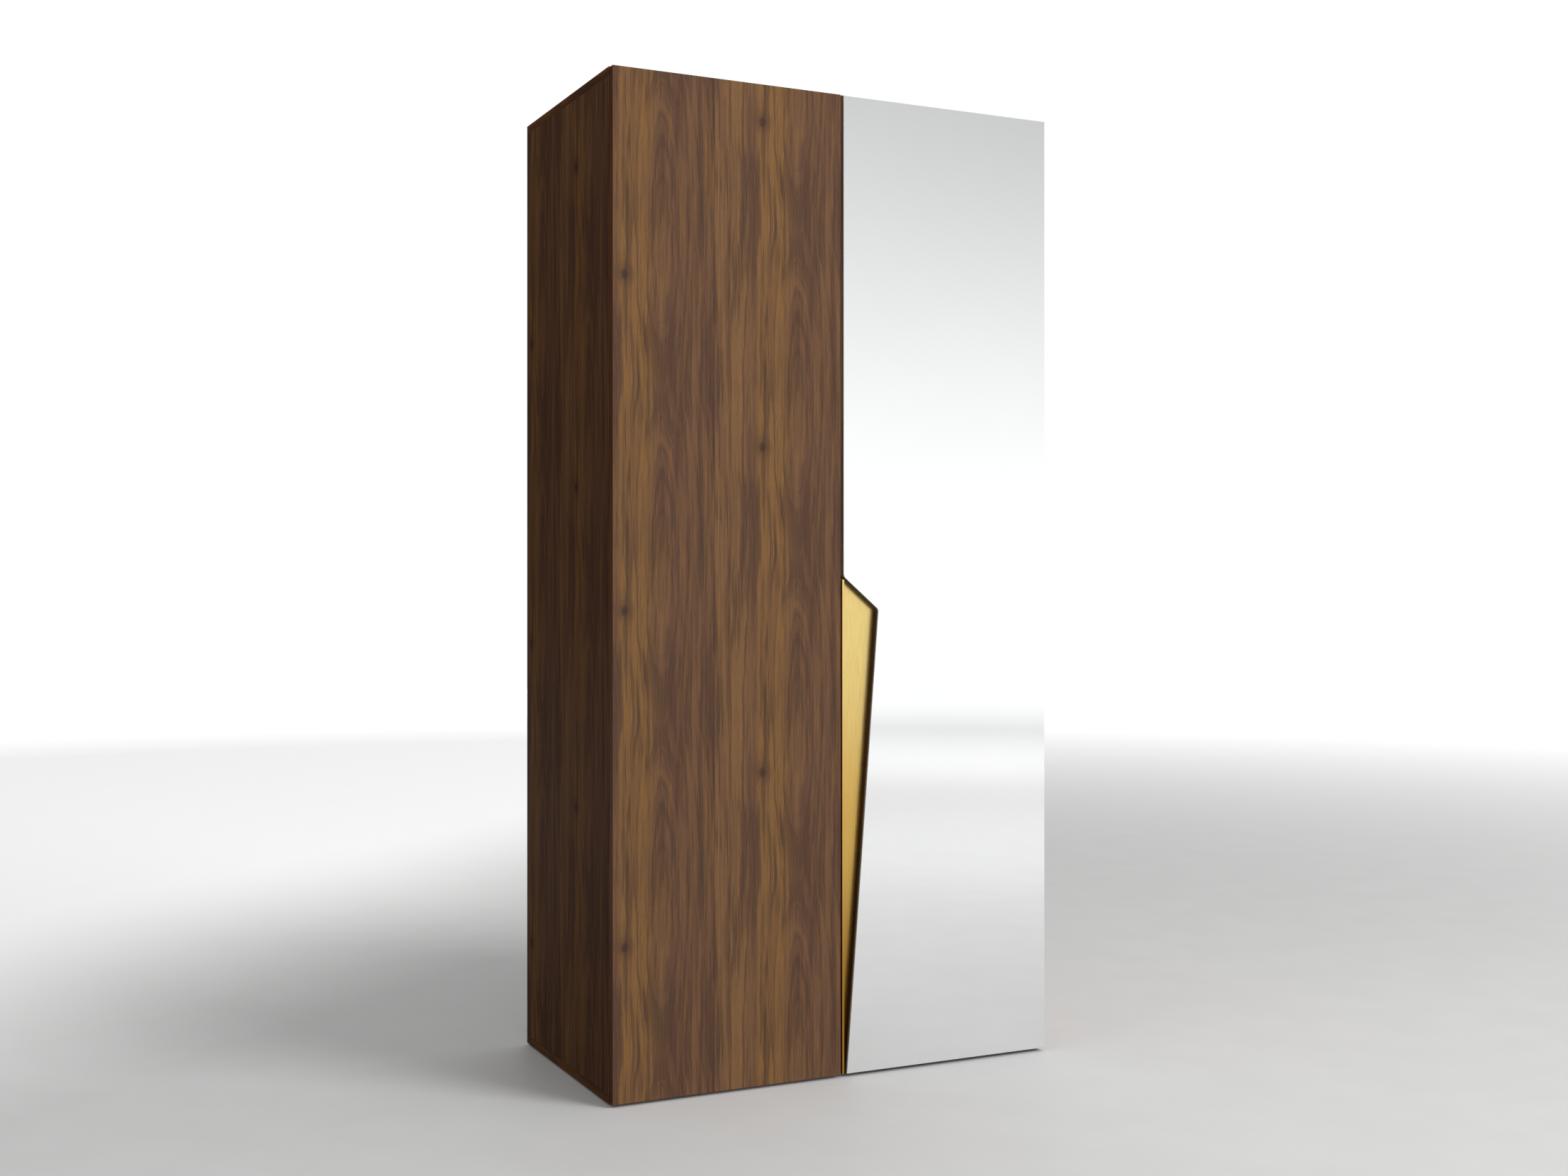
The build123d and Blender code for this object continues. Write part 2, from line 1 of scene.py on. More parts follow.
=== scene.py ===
"""Looks of a two-door armoire: walnut decor, a mirror door and a gilt finger recess.

Every size and place comes from the CAD frame. The classes below dress its nodes, and build finer
pieces where the plain solid falls short of the real finish.
"""
import logging
import math
from dataclasses import dataclass, field
from enum import Enum
from typing import Iterable, Sequence

import bmesh
import bpy
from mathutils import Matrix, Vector


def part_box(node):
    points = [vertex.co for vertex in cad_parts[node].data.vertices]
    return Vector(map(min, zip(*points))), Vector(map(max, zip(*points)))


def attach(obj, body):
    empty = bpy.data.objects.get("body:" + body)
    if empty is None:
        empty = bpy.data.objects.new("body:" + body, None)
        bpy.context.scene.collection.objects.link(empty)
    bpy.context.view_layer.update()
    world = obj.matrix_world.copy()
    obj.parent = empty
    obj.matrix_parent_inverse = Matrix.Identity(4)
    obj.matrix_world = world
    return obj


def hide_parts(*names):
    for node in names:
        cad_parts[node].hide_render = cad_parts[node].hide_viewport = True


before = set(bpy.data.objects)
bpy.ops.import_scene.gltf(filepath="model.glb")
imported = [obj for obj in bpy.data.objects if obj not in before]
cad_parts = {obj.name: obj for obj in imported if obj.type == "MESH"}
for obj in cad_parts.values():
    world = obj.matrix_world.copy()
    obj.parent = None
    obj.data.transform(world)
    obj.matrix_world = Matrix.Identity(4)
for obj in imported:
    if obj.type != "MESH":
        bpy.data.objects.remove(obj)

LOG = logging.getLogger("armoire")
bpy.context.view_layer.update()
Socket = bpy.types.NodeSocket
Value = float | Socket
Colour = tuple[float, float, float]

DISPLAY_TOP = 255                   # the largest display value
FLAT = math.radians(0.5)            # faces that meet at less are one flat area
WELD = 2e-6                         # metres between points that are one
SAME_PLACE = 1e-6                   # metres between coordinates that are equal
MOSTLY = 0.7                        # a normal's share along an axis it looks along
EDGE_ON = 0.5                       # the front's share of a normal stays below this on an edge
SQUARE_ON = 0.99                    # and goes beyond this on the front itself
DOWN = Vector((0, 0, -1))
TO_BACK = Vector((0, 1, 0))
TO_FRONT = Vector((0, -1, 0))
PAN_HEAD = {"Head Radius": 0.0036, "Head Height": 0.0018}


class Grain(Enum):
    """Which way the printed grain runs on a face of board."""

    UPRIGHT = "upright"
    FRONT_TO_BACK = "front_to_back"
    SIDEWAYS = "sideways"


class Face(Enum):
    """A direction that a face of a piece looks in."""

    SIDE = 0
    FRONT = 1
    TOP = 2


def tone(red: int, green: int, blue: int) -> Colour:
    """A colour given in display values, as linear light.

    Args:
        red: 0 to 255.
        green: 0 to 255.
        blue: 0 to 255.

    Returns:
        The three linear components.
    """
    shares = (part / DISPLAY_TOP for part in (red, green, blue))
    return tuple(s / 12.92 if s <= 0.04045 else ((s + 0.055) / 1.055) ** 2.4 for s in shares)


class Graph:
    """Adds nodes to a node tree and joins them."""

    def __init__(self, tree: bpy.types.NodeTree) -> None:
        """Keep the tree that the nodes go into.

        Args:
            tree: the node tree.
        """
        self.tree = tree

    def node(self, kind: str, **settings: object) -> bpy.types.Node:
        """Add one node and set its properties.

        Args:
            kind: the node's type name.
            settings: property values of the node.

        Returns:
            The new node.
        """
        made = self.tree.nodes.new(kind)
        for name, value in settings.items():
            setattr(made, name, value)
        return made

    def feed(self, socket: Socket, value: object) -> None:
        """Link a socket to another one, or set its constant value.

        Args:
            socket: the input socket.
            value: another socket, a constant, or None to leave it alone.
        """
        if isinstance(value, bpy.types.NodeSocket):
            self.tree.links.new(value, socket)
        elif value is not None:
            socket.default_value = value

    def plug(self, made: bpy.types.Node, **values: object) -> bpy.types.Node:
        """Set a node's inputs by name.

        Args:
            made: the node.
            values: its inputs, with underscores for spaces.

        Returns:
            The same node.
        """
        for label, value in values.items():
            self.feed(made.inputs[label.replace("_", " ")], value)
        return made

    def math(self, operation: str, *values: Value) -> Socket:
        """One Math node.

        Args:
            operation: the node's operation.
            values: numbers or sockets for its inputs, in order.

        Returns:
            The node's output.
        """
        made = self.node("ShaderNodeMath", operation=operation)
        for socket, value in zip(made.inputs, values):
            self.feed(socket, value)
        return made.outputs[0]

    def total(self, *values: Value) -> Socket:
        """The sum of several values.

        Args:
            values: numbers or sockets.

        Returns:
            Their sum.
        """
        result = values[0]
        for value in values[1:]:
            result = self.math("ADD", result, value)
        return result

    def times(self, first: Value, second: Value) -> Socket:
        """The product of two values.

        Args:
            first: number or socket.
            second: number or socket.

        Returns:
            Their product.
        """
        return self.math("MULTIPLY", first, second)

    def minus(self, first: Value, second: Value) -> Socket:
        """The difference of two values.

        Args:
            first: number or socket.
            second: what is taken away.

        Returns:
            Their difference.
        """
        return self.math("SUBTRACT", first, second)

    def span(self, across: Socket, up: Socket) -> Socket:
        """The length of a flat vector.

        Args:
            across: its first component.
            up: its second component.

        Returns:
            The length.
        """
        return self.math("SQRT", self.total(self.times(across, across), self.times(up, up)))

    def fit(self, value: Value, low: float, high: float, out_low: float = 0, out_high: float = 1) -> Socket:
        """Map a range onto another, clamped and eased.

        Args:
            value: what is mapped.
            low: start of the range.
            high: end of the range.
            out_low: result at the start.
            out_high: result at the end.

        Returns:
            The mapped value.
        """
        made = self.node("ShaderNodeMapRange", interpolation_type="SMOOTHSTEP")
        self.plug(made, Value=value, From_Min=low, From_Max=high, To_Min=out_low, To_Max=out_high)
        return made.outputs["Result"]

    def point(self, x: Value, y: Value = 0.0, z: Value = 0.0) -> Socket:
        """A vector from three values.

        Args:
            x: first component.
            y: second component.
            z: third component.

        Returns:
            The vector.
        """
        made = self.node("ShaderNodeCombineXYZ")
        for socket, value in zip(made.inputs, (x, y, z)):
            self.feed(socket, value)
        return made.outputs[0]

    def noise(self, place: Socket, scale: float = 1.0, detail: float = 2.0, rough: float = 0.5) -> Socket:
        """A fractal noise between 0 and 1.

        Args:
            place: where it is read.
            scale: how fine it is.
            detail: how many octaves it has.
            rough: how strong the finer octaves are.

        Returns:
            The noise value.
        """
        made = self.node("ShaderNodeTexNoise")
        return self.plug(made, Vector=place, Scale=scale, Detail=detail, Roughness=rough).outputs["Fac"]

    def ramp(self, value: Value, stops: Sequence[tuple[float, Colour]]) -> Socket:
        """A smooth colour ramp.

        Args:
            value: where on the ramp, 0 to 1.
            stops: position and linear colour of each stop.

        Returns:
            The ramp's colour.
        """
        made = self.node("ShaderNodeValToRGB")
        made.color_ramp.interpolation = "EASE"
        marks = made.color_ramp.elements
        while len(marks) < len(stops):
            marks.new(0.5)
        for mark, (position, colour) in zip(marks, stops):
            mark.position = position
            mark.color = (*colour, 1)
        self.feed(made.inputs[0], value)
        return made.outputs[0]

    def blend(self, share: Value, first: object, second: object, mode: str = "MIX") -> Socket:
        """Mix two colours.

        Args:
            share: how much of the second.
            first: colour or socket.
            second: colour or socket.
            mode: the blend type.

        Returns:
            The mixed colour.
        """
        made = self.node("ShaderNodeMix", data_type="RGBA", blend_type=mode)
        self.feed(made.inputs["Factor"], share)
        for name, value in (("A", first), ("B", second)):
            socket = next(s for s in made.inputs if s.name == name and s.type == "RGBA")
            self.feed(socket, (*value, 1) if isinstance(value, tuple) else value)
        return next(s for s in made.outputs if s.type == "RGBA")

    def parts(self, vector: Socket) -> tuple[Socket, Socket, Socket]:
        """The three components of a vector.

        Args:
            vector: the vector.

        Returns:
            Its X, Y and Z.
        """
        made = self.node("ShaderNodeSeparateXYZ")
        self.feed(made.inputs[0], vector)
        return tuple(made.outputs)


class Skin(Graph):
    """The graph of one material, with its Principled shader."""

    def __init__(self, tree: bpy.types.NodeTree) -> None:
        """Find the shader and the object coordinate.

        Args:
            tree: the material's node tree.
        """
        super().__init__(tree)
        self.shader = next(n for n in tree.nodes if n.type == "BSDF_PRINCIPLED")
        self.place = self.node("ShaderNodeTexCoord").outputs["Object"]

    def coat(self, **values: object) -> None:
        """Set the shader's inputs.

        Args:
            values: its inputs, with underscores for spaces.
        """
        self.plug(self.shader, **values)

    def bump(self, height: Socket, distance: float, strength: float = 1.0) -> None:
        """Raise the surface's shading by a height field.

        Args:
            height: the height field.
            distance: its depth in metres.
            strength: how much of it is used.
        """
        made = self.plug(self.node("ShaderNodeBump"), Height=height, Distance=distance, Strength=strength)
        self.coat(Normal=made.outputs["Normal"])


@dataclass(frozen=True)
class Finish:
    """A finish, which can be made into a material."""

    name: str

    def build(self) -> bpy.types.Material:
        """Make the material.

        Returns:
            The finished material.
        """
        material = bpy.data.materials.new(self.name)
        material.use_nodes = True
        self.paint(Skin(material.node_tree))
        return material

    def paint(self, skin: Skin) -> None:
        """Lay out the material's nodes.

        Args:
            skin: the material's graph.
        """
        raise NotImplementedError


@dataclass(frozen=True)
class WalnutDecor(Finish):
    """Printed walnut foil: the same flat-sawn plank over and over, half a length apart.

    Lengths are metres. The plank runs along the grain, and its zones across it are shares of its
    width: pale sapwood, a dark vein, golden wood with a knot, the heart's arches, and a dark edge.
    """

    name: str
    grain: Grain = Grain.UPRIGHT
    seam: float = -0.295
    knot_height: float = 0.657
    plank_width: float = 0.308
    repeat: float = 0.682
    heart: float = 0.190
    knot: float = 0.109
    tint: Colour = (1.0, 1.0, 1.0)
    lean: float = 1.0
    roughness: float = 0.42
    gloss: float = 0.14
    knot_half_width: float = 0.0092
    knot_half_length: float = 0.0105
    pith_depth: float = 0.021
    pore_depth: float = 0.00006

    pale: Colour = tone(131, 97, 66)
    golden: Colour = tone(138, 101, 60)
    middle: Colour = tone(115, 84, 62)
    plum: Colour = tone(99, 71, 57)
    dark: Colour = tone(78, 57, 46)
    vein: Colour = tone(58, 45, 40)

    def paint(self, skin: Skin) -> None:
        """Lay out the material's nodes.

        Args:
            skin: the material's graph.
        """
        across, along = self._directions(skin)
        skin.coat(Base_Color=self._colour(skin, across, along), Specular_IOR_Level=self.gloss)

    def _directions(self, skin: Skin) -> tuple[Socket, Socket]:
        """Coordinates across and along the grain.

        Args:
            skin: the material's graph.

        Returns:
            The two coordinates, in metres.
        """
        x, y, z = skin.parts(skin.place)
        if self.grain is Grain.UPRIGHT:
            return skin.math("MULTIPLY_ADD", y, self.lean, x), z
        if self.grain is Grain.FRONT_TO_BACK:
            return skin.total(x, z), y
        return skin.total(y, z), x

    def _colour(self, skin: Skin, across: Socket, along: Socket) -> Socket:
        """The decor's colour, with its roughness and pores set on the shader.

        Args:
            skin: the material's graph.
            across: coordinate across the grain.
            along: coordinate along it.

        Returns:
            The colour socket.
        """
        planks = skin.math("DIVIDE", skin.minus(across, self.seam), self.plank_width)
        number = skin.math("FLOOR", planks)
        inside = skin.times(skin.minus(planks, number), self.plank_width)
        shifted = skin.minus(along, skin.times(number, self.repeat / 2))
        lengths = skin.math("DIVIDE", skin.minus(shifted, self.knot_height), self.repeat)
        turn = skin.times(lengths, math.tau)
        round_x, round_y = skin.math("COSINE", turn), skin.math("SINE", turn)
        from_knot = skin.times(self.repeat, skin.minus(lengths, skin.math("ROUND", lengths)))

        def ring(reach: float, fineness: float, shift: float = 0.0) -> Socket:
            """A point for noise that repeats along the grain.

            Args:
                reach: how fast the noise changes along the grain.
                fineness: how fast it changes across.
                shift: keeps one noise apart from another.

            Returns:
                The point.
            """
            return skin.point(skin.math("MULTIPLY_ADD", inside, fineness, shift),
                              skin.times(round_x, reach), skin.times(round_y, reach))

        def wave(reach: float, fineness: float, shift: float) -> Socket:
            """A soft noise about zero; the sizes are those of ring.

            Args:
                reach: how fast it changes along the grain.
                fineness: how fast it changes across.
                shift: keeps one noise apart from another.

            Returns:
                The noise, -0.5 to 0.5.
            """
            return skin.minus(skin.noise(ring(reach, fineness, shift), 1, 2), 0.5)

        sway, wander, ragged = wave(0.6, 7, 3.1), wave(1.6, 30, 8.7), wave(9, 130, 2.2)
        ragged_x = skin.math("MULTIPLY_ADD", ragged, 0.006, inside)
        knot_x = skin.math("DIVIDE", skin.minus(ragged_x, self.knot), self.knot_half_width)
        ragged_z = skin.math("MULTIPLY_ADD", ragged, 0.012, from_knot)
        knot_z = skin.math("DIVIDE", ragged_z, self.knot_half_length)
        knot_far = skin.span(knot_x, knot_z)
        push = skin.times(knot_x, skin.math("EXPONENT", skin.times(knot_far, -0.55)))
        bent = skin.total(inside, skin.times(sway, 0.020), skin.times(wander, 0.004),
                          skin.times(push, -0.004))

        arch = skin.math("COSINE", skin.math("ADD", turn, 2.2))
        depth = skin.total(self.pith_depth, skin.times(arch, 0.017), skin.times(wander, 0.008))
        radius = skin.span(skin.minus(bent, self.heart), depth)

        def lines(fineness: float, reach: float, detail: float, rough: float) -> Socket:
            """Growth lines: noise over the distance from the pith.

            Args:
                fineness: how fast it changes with that distance.
                reach: how fast it changes along the grain.
                detail: how many octaves it has.
                rough: how strong the finer octaves are.

            Returns:
                The noise, 0 to 1.
            """
            where = skin.point(skin.times(radius, fineness), skin.times(round_x, reach),
                               skin.times(round_y, reach))
            return skin.noise(where, 1, detail, rough)

        broad = lines(48, 0.40, 2, 0.5)
        veins = lines(150, 0.50, 3, 0.55)
        bands = skin.noise(ring(0.45, 62, 1.3), 1, 3, 0.6)
        hairs = skin.noise(ring(0.62, 500), 1, 3, 0.7)
        fibres = skin.noise(ring(2.6, 1500), 1, 2, 0.6)
        pore = skin.fit(skin.noise(ring(8, 1100, 5.0), 1, 1, 0.5), 0.66, 0.74, 0, 1)

        zones = ((0.00, self.pale), (0.22, self.pale), (0.285, self.plum), (0.345, self.golden),
                 (0.50, self.golden), (0.60, self.middle), (0.72, self.plum), (0.84, self.middle),
                 (0.93, self.plum), (1.0, self.dark))
        colour = skin.ramp(skin.math("DIVIDE", bent, self.plank_width), zones)
        # Each layer: a field, the two values between which it sets in, its share at each, its colour.
        layers = ((broad, 0.46, 0.64, 0, 0.42, self.plum), (broad, 0.34, 0.50, 0.30, 0, self.golden),
                  (bands, 0.50, 0.66, 0, 0.62, self.dark), (bands, 0.36, 0.49, 0.45, 0, self.pale),
                  (veins, 0.52, 0.64, 0, 0.58, self.dark), (veins, 0.36, 0.47, 0.35, 0, self.golden),
                  (hairs, 0.49, 0.68, 0, 0.42, self.dark), (hairs, 0.34, 0.48, 0.30, 0, self.golden),
                  (fibres, 0.48, 0.66, 0, 0.34, self.dark), (fibres, 0.32, 0.48, 0.20, 0, self.pale),
                  (knot_far, 0.3, 1.3, 0.85, 0, self.vein), (knot_far, 0.9, 3.4, 0.50, 0, self.dark))
        for value, start, end, share, last_share, paint in layers:
            colour = skin.blend(skin.fit(value, start, end, share, last_share), colour, paint)
        colour = skin.blend(skin.times(pore, 0.35), colour, self.vein)
        colour = skin.blend(1.0, colour, self.tint, "MULTIPLY")

        skin.coat(Roughness=skin.total(self.roughness, skin.times(pore, 0.15),
                                       skin.times(skin.minus(hairs, 0.5), 0.12)))
        skin.bump(skin.minus(skin.times(fibres, 0.4), pore), self.pore_depth, 0.6)
        return colour


@dataclass(frozen=True)
class Silvering(Finish):
    """A mirror's face: silvered float glass with the faintest waviness."""

    name: str = "silvered_glass"
    tint: Colour = (0.93, 0.94, 0.94)

    def paint(self, skin: Skin) -> None:
        """Lay out the material's nodes.

        Args:
            skin: the material's graph.
        """
        haze = skin.noise(skin.place, 3.0, 4, 0.5)
        dimmer = tuple(part * 0.985 for part in self.tint)
        skin.coat(Base_Color=skin.blend(skin.fit(haze, 0.3, 0.7), self.tint, dimmer), Metallic=1.0,
                  Roughness=skin.fit(haze, 0.2, 0.9, 0.004, 0.012))
        skin.bump(skin.noise(skin.place, 1.6, 1, 0.4), 0.00008, 0.25)


@dataclass(frozen=True)
class GlassEdge(Finish):
    """The ground and polished edge of float glass, cool and a little green."""

    name: str = "polished_glass_edge"

    def paint(self, skin: Skin) -> None:
        """Lay out the material's nodes.

        Args:
            skin: the material's graph.
        """
        wear = skin.noise(skin.place, 240.0, 3, 0.6)
        skin.coat(Base_Color=skin.ramp(wear, [(0.3, tone(214, 222, 219)), (0.7, tone(238, 242, 240))]),
                  Roughness=skin.fit(wear, 0.2, 0.8, 0.12, 0.3))


@dataclass(frozen=True)
class BrushedGilt(Finish):
    """Gilt sheet brushed along its length, with painted shade darkening it towards the foot and a painted
    highlight towards the crown.
    """

    name: str = "brushed_gilt"
    foot: float = 0.0
    crown: float = 1.1
    # low, mid and high: painted shade at the foot, the gilt's own tone, a painted highlight at the crown; low
    # also colours the brush strokes
    low: Colour = tone(176, 130, 56)
    mid: Colour = tone(219, 179, 96)
    high: Colour = tone(238, 212, 138)
    roughness: float = 0.27

    def paint(self, skin: Skin) -> None:
        """Lay out the material's nodes.

        Args:
            skin: the material's graph.
        """
        x, y, z = skin.parts(skin.place)
        along = skin.point(skin.times(skin.total(x, y), 2600), skin.times(z, 14))
        strokes = skin.noise(along, 1, 3, 0.6)
        # painted light: the colour runs from painted shade at the foot to a painted highlight at the crown
        painted_light_rise = skin.fit(z, self.foot, self.crown)
        colour = skin.ramp(painted_light_rise, [(0.0, self.low), (0.45, self.mid), (1.0, self.high)])
        colour = skin.blend(skin.fit(strokes, 0.35, 0.7, 0, 0.22), colour, self.low)
        rough = skin.fit(strokes, 0.2, 0.8, self.roughness - 0.05, self.roughness + 0.09)
        skin.coat(Base_Color=colour, Metallic=1.0, Anisotropic=0.5, Roughness=rough)
        skin.bump(strokes, 0.00002, 0.5)


@dataclass(frozen=True)
class PlatedMetal(Finish):
    """Plated or plain hardware metal with fine scratches and a cloudy polish."""

    name: str
    base: Colour
    roughness: float = 0.26
    scratch: float = 900.0
    metallic: float = 1.0

    def paint(self, skin: Skin) -> None:
        """Lay out the material's nodes.

        Args:
            skin: the material's graph.
        """
        cloud = skin.noise(skin.place, 55.0, 4, 0.6)
        fine = skin.noise(skin.place, self.scratch, 2, 0.7)
        worn = tuple(part * 0.72 for part in self.base)
        rough = skin.total(self.roughness - 0.05, skin.times(cloud, 0.12))
        skin.coat(Base_Color=skin.blend(skin.fit(cloud, 0.35, 0.7, 0, 0.5), self.base, worn),
                  Metallic=self.metallic, Roughness=rough)
        skin.bump(fine, 0.00001, 0.5)


@dataclass(frozen=True)
class Moulded(Finish):
    """Moulded plastic or rubber with a light spark-eroded grain."""

    name: str
    base: Colour
    roughness: float = 0.45
    clear: float = 0.0

    def paint(self, skin: Skin) -> None:
        """Lay out the material's nodes.

        Args:
            skin: the material's graph.
        """
        grain = skin.noise(skin.place, 1400.0, 2, 0.6)
        cloud = skin.noise(skin.place, 90.0, 2, 0.5)
        lighter = tuple(min(1.0, part * 1.25 + 0.004) for part in self.base)
        skin.coat(Base_Color=skin.blend(skin.fit(cloud, 0.3, 0.7), self.base, lighter),
                  Roughness=skin.fit(grain, 0.3, 0.7, self.roughness - 0.06, self.roughness + 0.08),
                  Transmission_Weight=self.clear)
        skin.bump(grain, 0.00002, 0.5)


@dataclass(frozen=True)
class PlainBeech(Finish):
    """Turned beech: short fine fibres and pale flecks."""

    name: str = "plain_beech"

    def paint(self, skin: Skin) -> None:
        """Lay out the material's nodes.

        Args:
            skin: the material's graph.
        """
        x, y, z = skin.parts(skin.place)
        fibre = skin.point(skin.times(x, 900), skin.times(y, 900), skin.times(z, 120))
        fleck = skin.noise(fibre, 1, 3, 0.6)
        skin.coat(Base_Color=skin.ramp(fleck, [(0.3, tone(196, 158, 116)), (0.7, tone(222, 190, 150))]),
                  Roughness=skin.fit(fleck, 0.3, 0.7, 0.5, 0.65))
        skin.bump(fleck, 0.00005, 0.6)


@dataclass(frozen=True)
class PaleFloor(Finish):
    """A pale studio floor that glows as painted light, more away from the object and behind it, and is
    painted darker where the key light falls.
    """

    name: str = "pale_floor"
    near: float = 2.0
    far: float = 13.0
    shaded: Colour = (0.42, 0.42, 0.415)

    def paint(self, skin: Skin) -> None:
        """Lay out the material's nodes.

        Args:
            skin: the material's graph.
        """
        x, y, _ = skin.parts(skin.place)
        mottle = skin.noise(skin.place, 6.0, 4, 0.5)
        pale = skin.ramp(mottle, [(0.3, (0.83, 0.83, 0.825)), (0.7, (0.85, 0.85, 0.845))])
        # painted shade: the floor's colour darkens where the key light makes its pool of light
        key_pool_painted_shade = skin.fit(skin.minus(skin.times(x, 0.5), y), 3.0, 6.5, 0.0, 1.0)
        # painted light: the floor glows, faintly near the object and more away from it and behind it
        away = skin.fit(skin.span(x, y), self.near, self.far, 0.02, 0.85)
        behind = skin.fit(skin.minus(skin.times(y, 0.6), skin.times(x, 0.5)), 0.7, 2.3, 0.0, 0.50)
        skin.coat(Base_Color=skin.blend(key_pool_painted_shade, pale, self.shaded), Roughness=0.6,
                  Emission_Color=(1, 1, 1, 1), Emission_Strength=skin.math("MAXIMUM", away, behind))


@dataclass(frozen=True)
class Finishes:
    """Every finish of the armoire, made once and shared."""

    made: dict[str, bpy.types.Material] = field(default_factory=dict)

    def get(self, finish: Finish) -> bpy.types.Material:
        """The material of a finish, built the first time it is asked for.

        Args:
            finish: one of the finishes above.

        Returns:
            Its material.
        """
        if finish.name not in self.made:
            self.made[finish.name] = finish.build()
        return self.made[finish.name]


FINISHES = Finishes()
INNER_TINT = (0.85, 0.85, 0.85)
DOOR_DECOR = WalnutDecor("walnut_door_decor", seam=-0.5775, knot_height=0.664, tint=(1.10, 1.08, 1.06))
# painted light: the sides' walnut is a lighter, warmer copy of the door's, tuned to how the shaded sides look
# under this light
SIDE_LIT_DECOR = WalnutDecor("walnut_side_painted_light", seam=-0.5695, knot_height=0.583, lean=-1.0,
                         tint=(1.50, 1.38, 1.38), gloss=0.004)
# painted light: the door's edges and the caps' ends get warmer, lighter copies of the walnut, tuned to how
# those edges look in their shade
EDGE_LIT_BAND = WalnutDecor("walnut_edge_painted_light", seam=-1.02, knot_height=0.3, tint=(1.45, 1.05, 0.80), gloss=0.02)
CAP_DECOR = WalnutDecor("walnut_cap_decor", grain=Grain.SIDEWAYS, seam=-0.19, knot_height=0.2)
CAP_END_LIT_BAND = WalnutDecor("walnut_cap_end_painted_light", grain=Grain.FRONT_TO_BACK, seam=-0.67, knot_height=0.4,
                           tint=(1.35, 1.05, 0.85), gloss=0.012)
INNER_UPRIGHT = WalnutDecor("walnut_inner_upright", seam=-0.42, knot_height=0.3, tint=INNER_TINT,
                            roughness=0.5)
INNER_SHELF = WalnutDecor("walnut_inner_shelf", grain=Grain.SIDEWAYS, seam=-0.13, tint=INNER_TINT,
                          roughness=0.5)
INNER_BACK = WalnutDecor("walnut_back_board", seam=-0.33, knot_height=0.5, tint=(0.8, 0.8, 0.8),
                         roughness=0.6)
CARRIER_DECOR = WalnutDecor("walnut_carrier_decor", seam=-0.2635, knot_height=0.4)
# painted shade: a darker, redder copy of the walnut for the carrier's edges that look left or down, the
# recess walls among them
RECESS_PAINTED_SHADE = WalnutDecor("walnut_recess_painted_shade", seam=-0.30, knot_height=0.6, tint=(0.46, 0.30, 0.24))
NICKEL = PlatedMetal("nickel_plate", tone(204, 200, 192), 0.38, metallic=0.7)
ZINC = PlatedMetal("die_cast_zinc", tone(150, 152, 154), 0.42, 500)
STEEL = PlatedMetal("zinc_plated_steel", tone(184, 186, 188), 0.38, metallic=0.8)
SCREW_STEEL = PlatedMetal("screw_steel", tone(190, 188, 182), 0.28)
CHROME = PlatedMetal("polished_chrome", tone(214, 215, 217), 0.09, 300)
BRASS = PlatedMetal("polished_brass", tone(214, 176, 104), 0.22)
GILT = BrushedGilt()
BLACK = Moulded("black_plastic", tone(30, 30, 31), 0.5)
CLEAR = Moulded("clear_bumper_rubber", tone(206, 206, 200), 0.35, 0.6)


def named(node: str) -> bpy.types.Object:
    """The CAD node's object.

    Args:
        node: the node's name.

    Returns:
        Its object.
    """
    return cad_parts[node]


def dress(node: str, *finishes: Finish) -> None:
    """Give a CAD node its finish.

    Args:
        node: the node's name.
        finishes: one finish for each of its material slots; the last one fills the rest.
    """
    for number, slot in enumerate(named(node).material_slots):
        slot.material = FINISHES.get(finishes[min(number, len(finishes) - 1)])
    LOG.info("dressed %s", node)


def merged(node: str) -> bmesh.types.BMesh:
    """A welded copy of a CAD node's mesh, whose flat areas are single faces.

    Args:
        node: the node's name.

    Returns:
        The copy, which the caller frees.
    """
    copy = bmesh.new()
    copy.from_mesh(named(node).data)
    bmesh.ops.remove_doubles(copy, verts=copy.verts, dist=WELD)
    return copy


def settle(copy: bmesh.types.BMesh, name: str, materials: Sequence[bpy.types.Material]) -> bpy.types.Object:
    """Turn a working mesh into an object in the scene.

    Args:
        copy: the working mesh, which is freed.
        name: the object's name.
        materials: its materials, in slot order.

    Returns:
        The object, at the origin.
    """
    mesh = bpy.data.meshes.new(name)
    copy.to_mesh(mesh)
    copy.free()
    for material in materials:
        mesh.materials.append(material)
    made = bpy.data.objects.new(name, mesh)
    bpy.context.scene.collection.objects.link(made)
    return made


def adopt(piece: bpy.types.Object, node: str, body: str) -> None:
    """Let a piece stand for a CAD node and move with its body.

    Args:
        piece: the finished piece.
        node: the CAD node that it replaces.
        body: the body that it rides.
    """
    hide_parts(node)
    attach(piece, body)
    LOG.info("built %s for %s: %d faces", piece.name, node, len(piece.data.polygons))


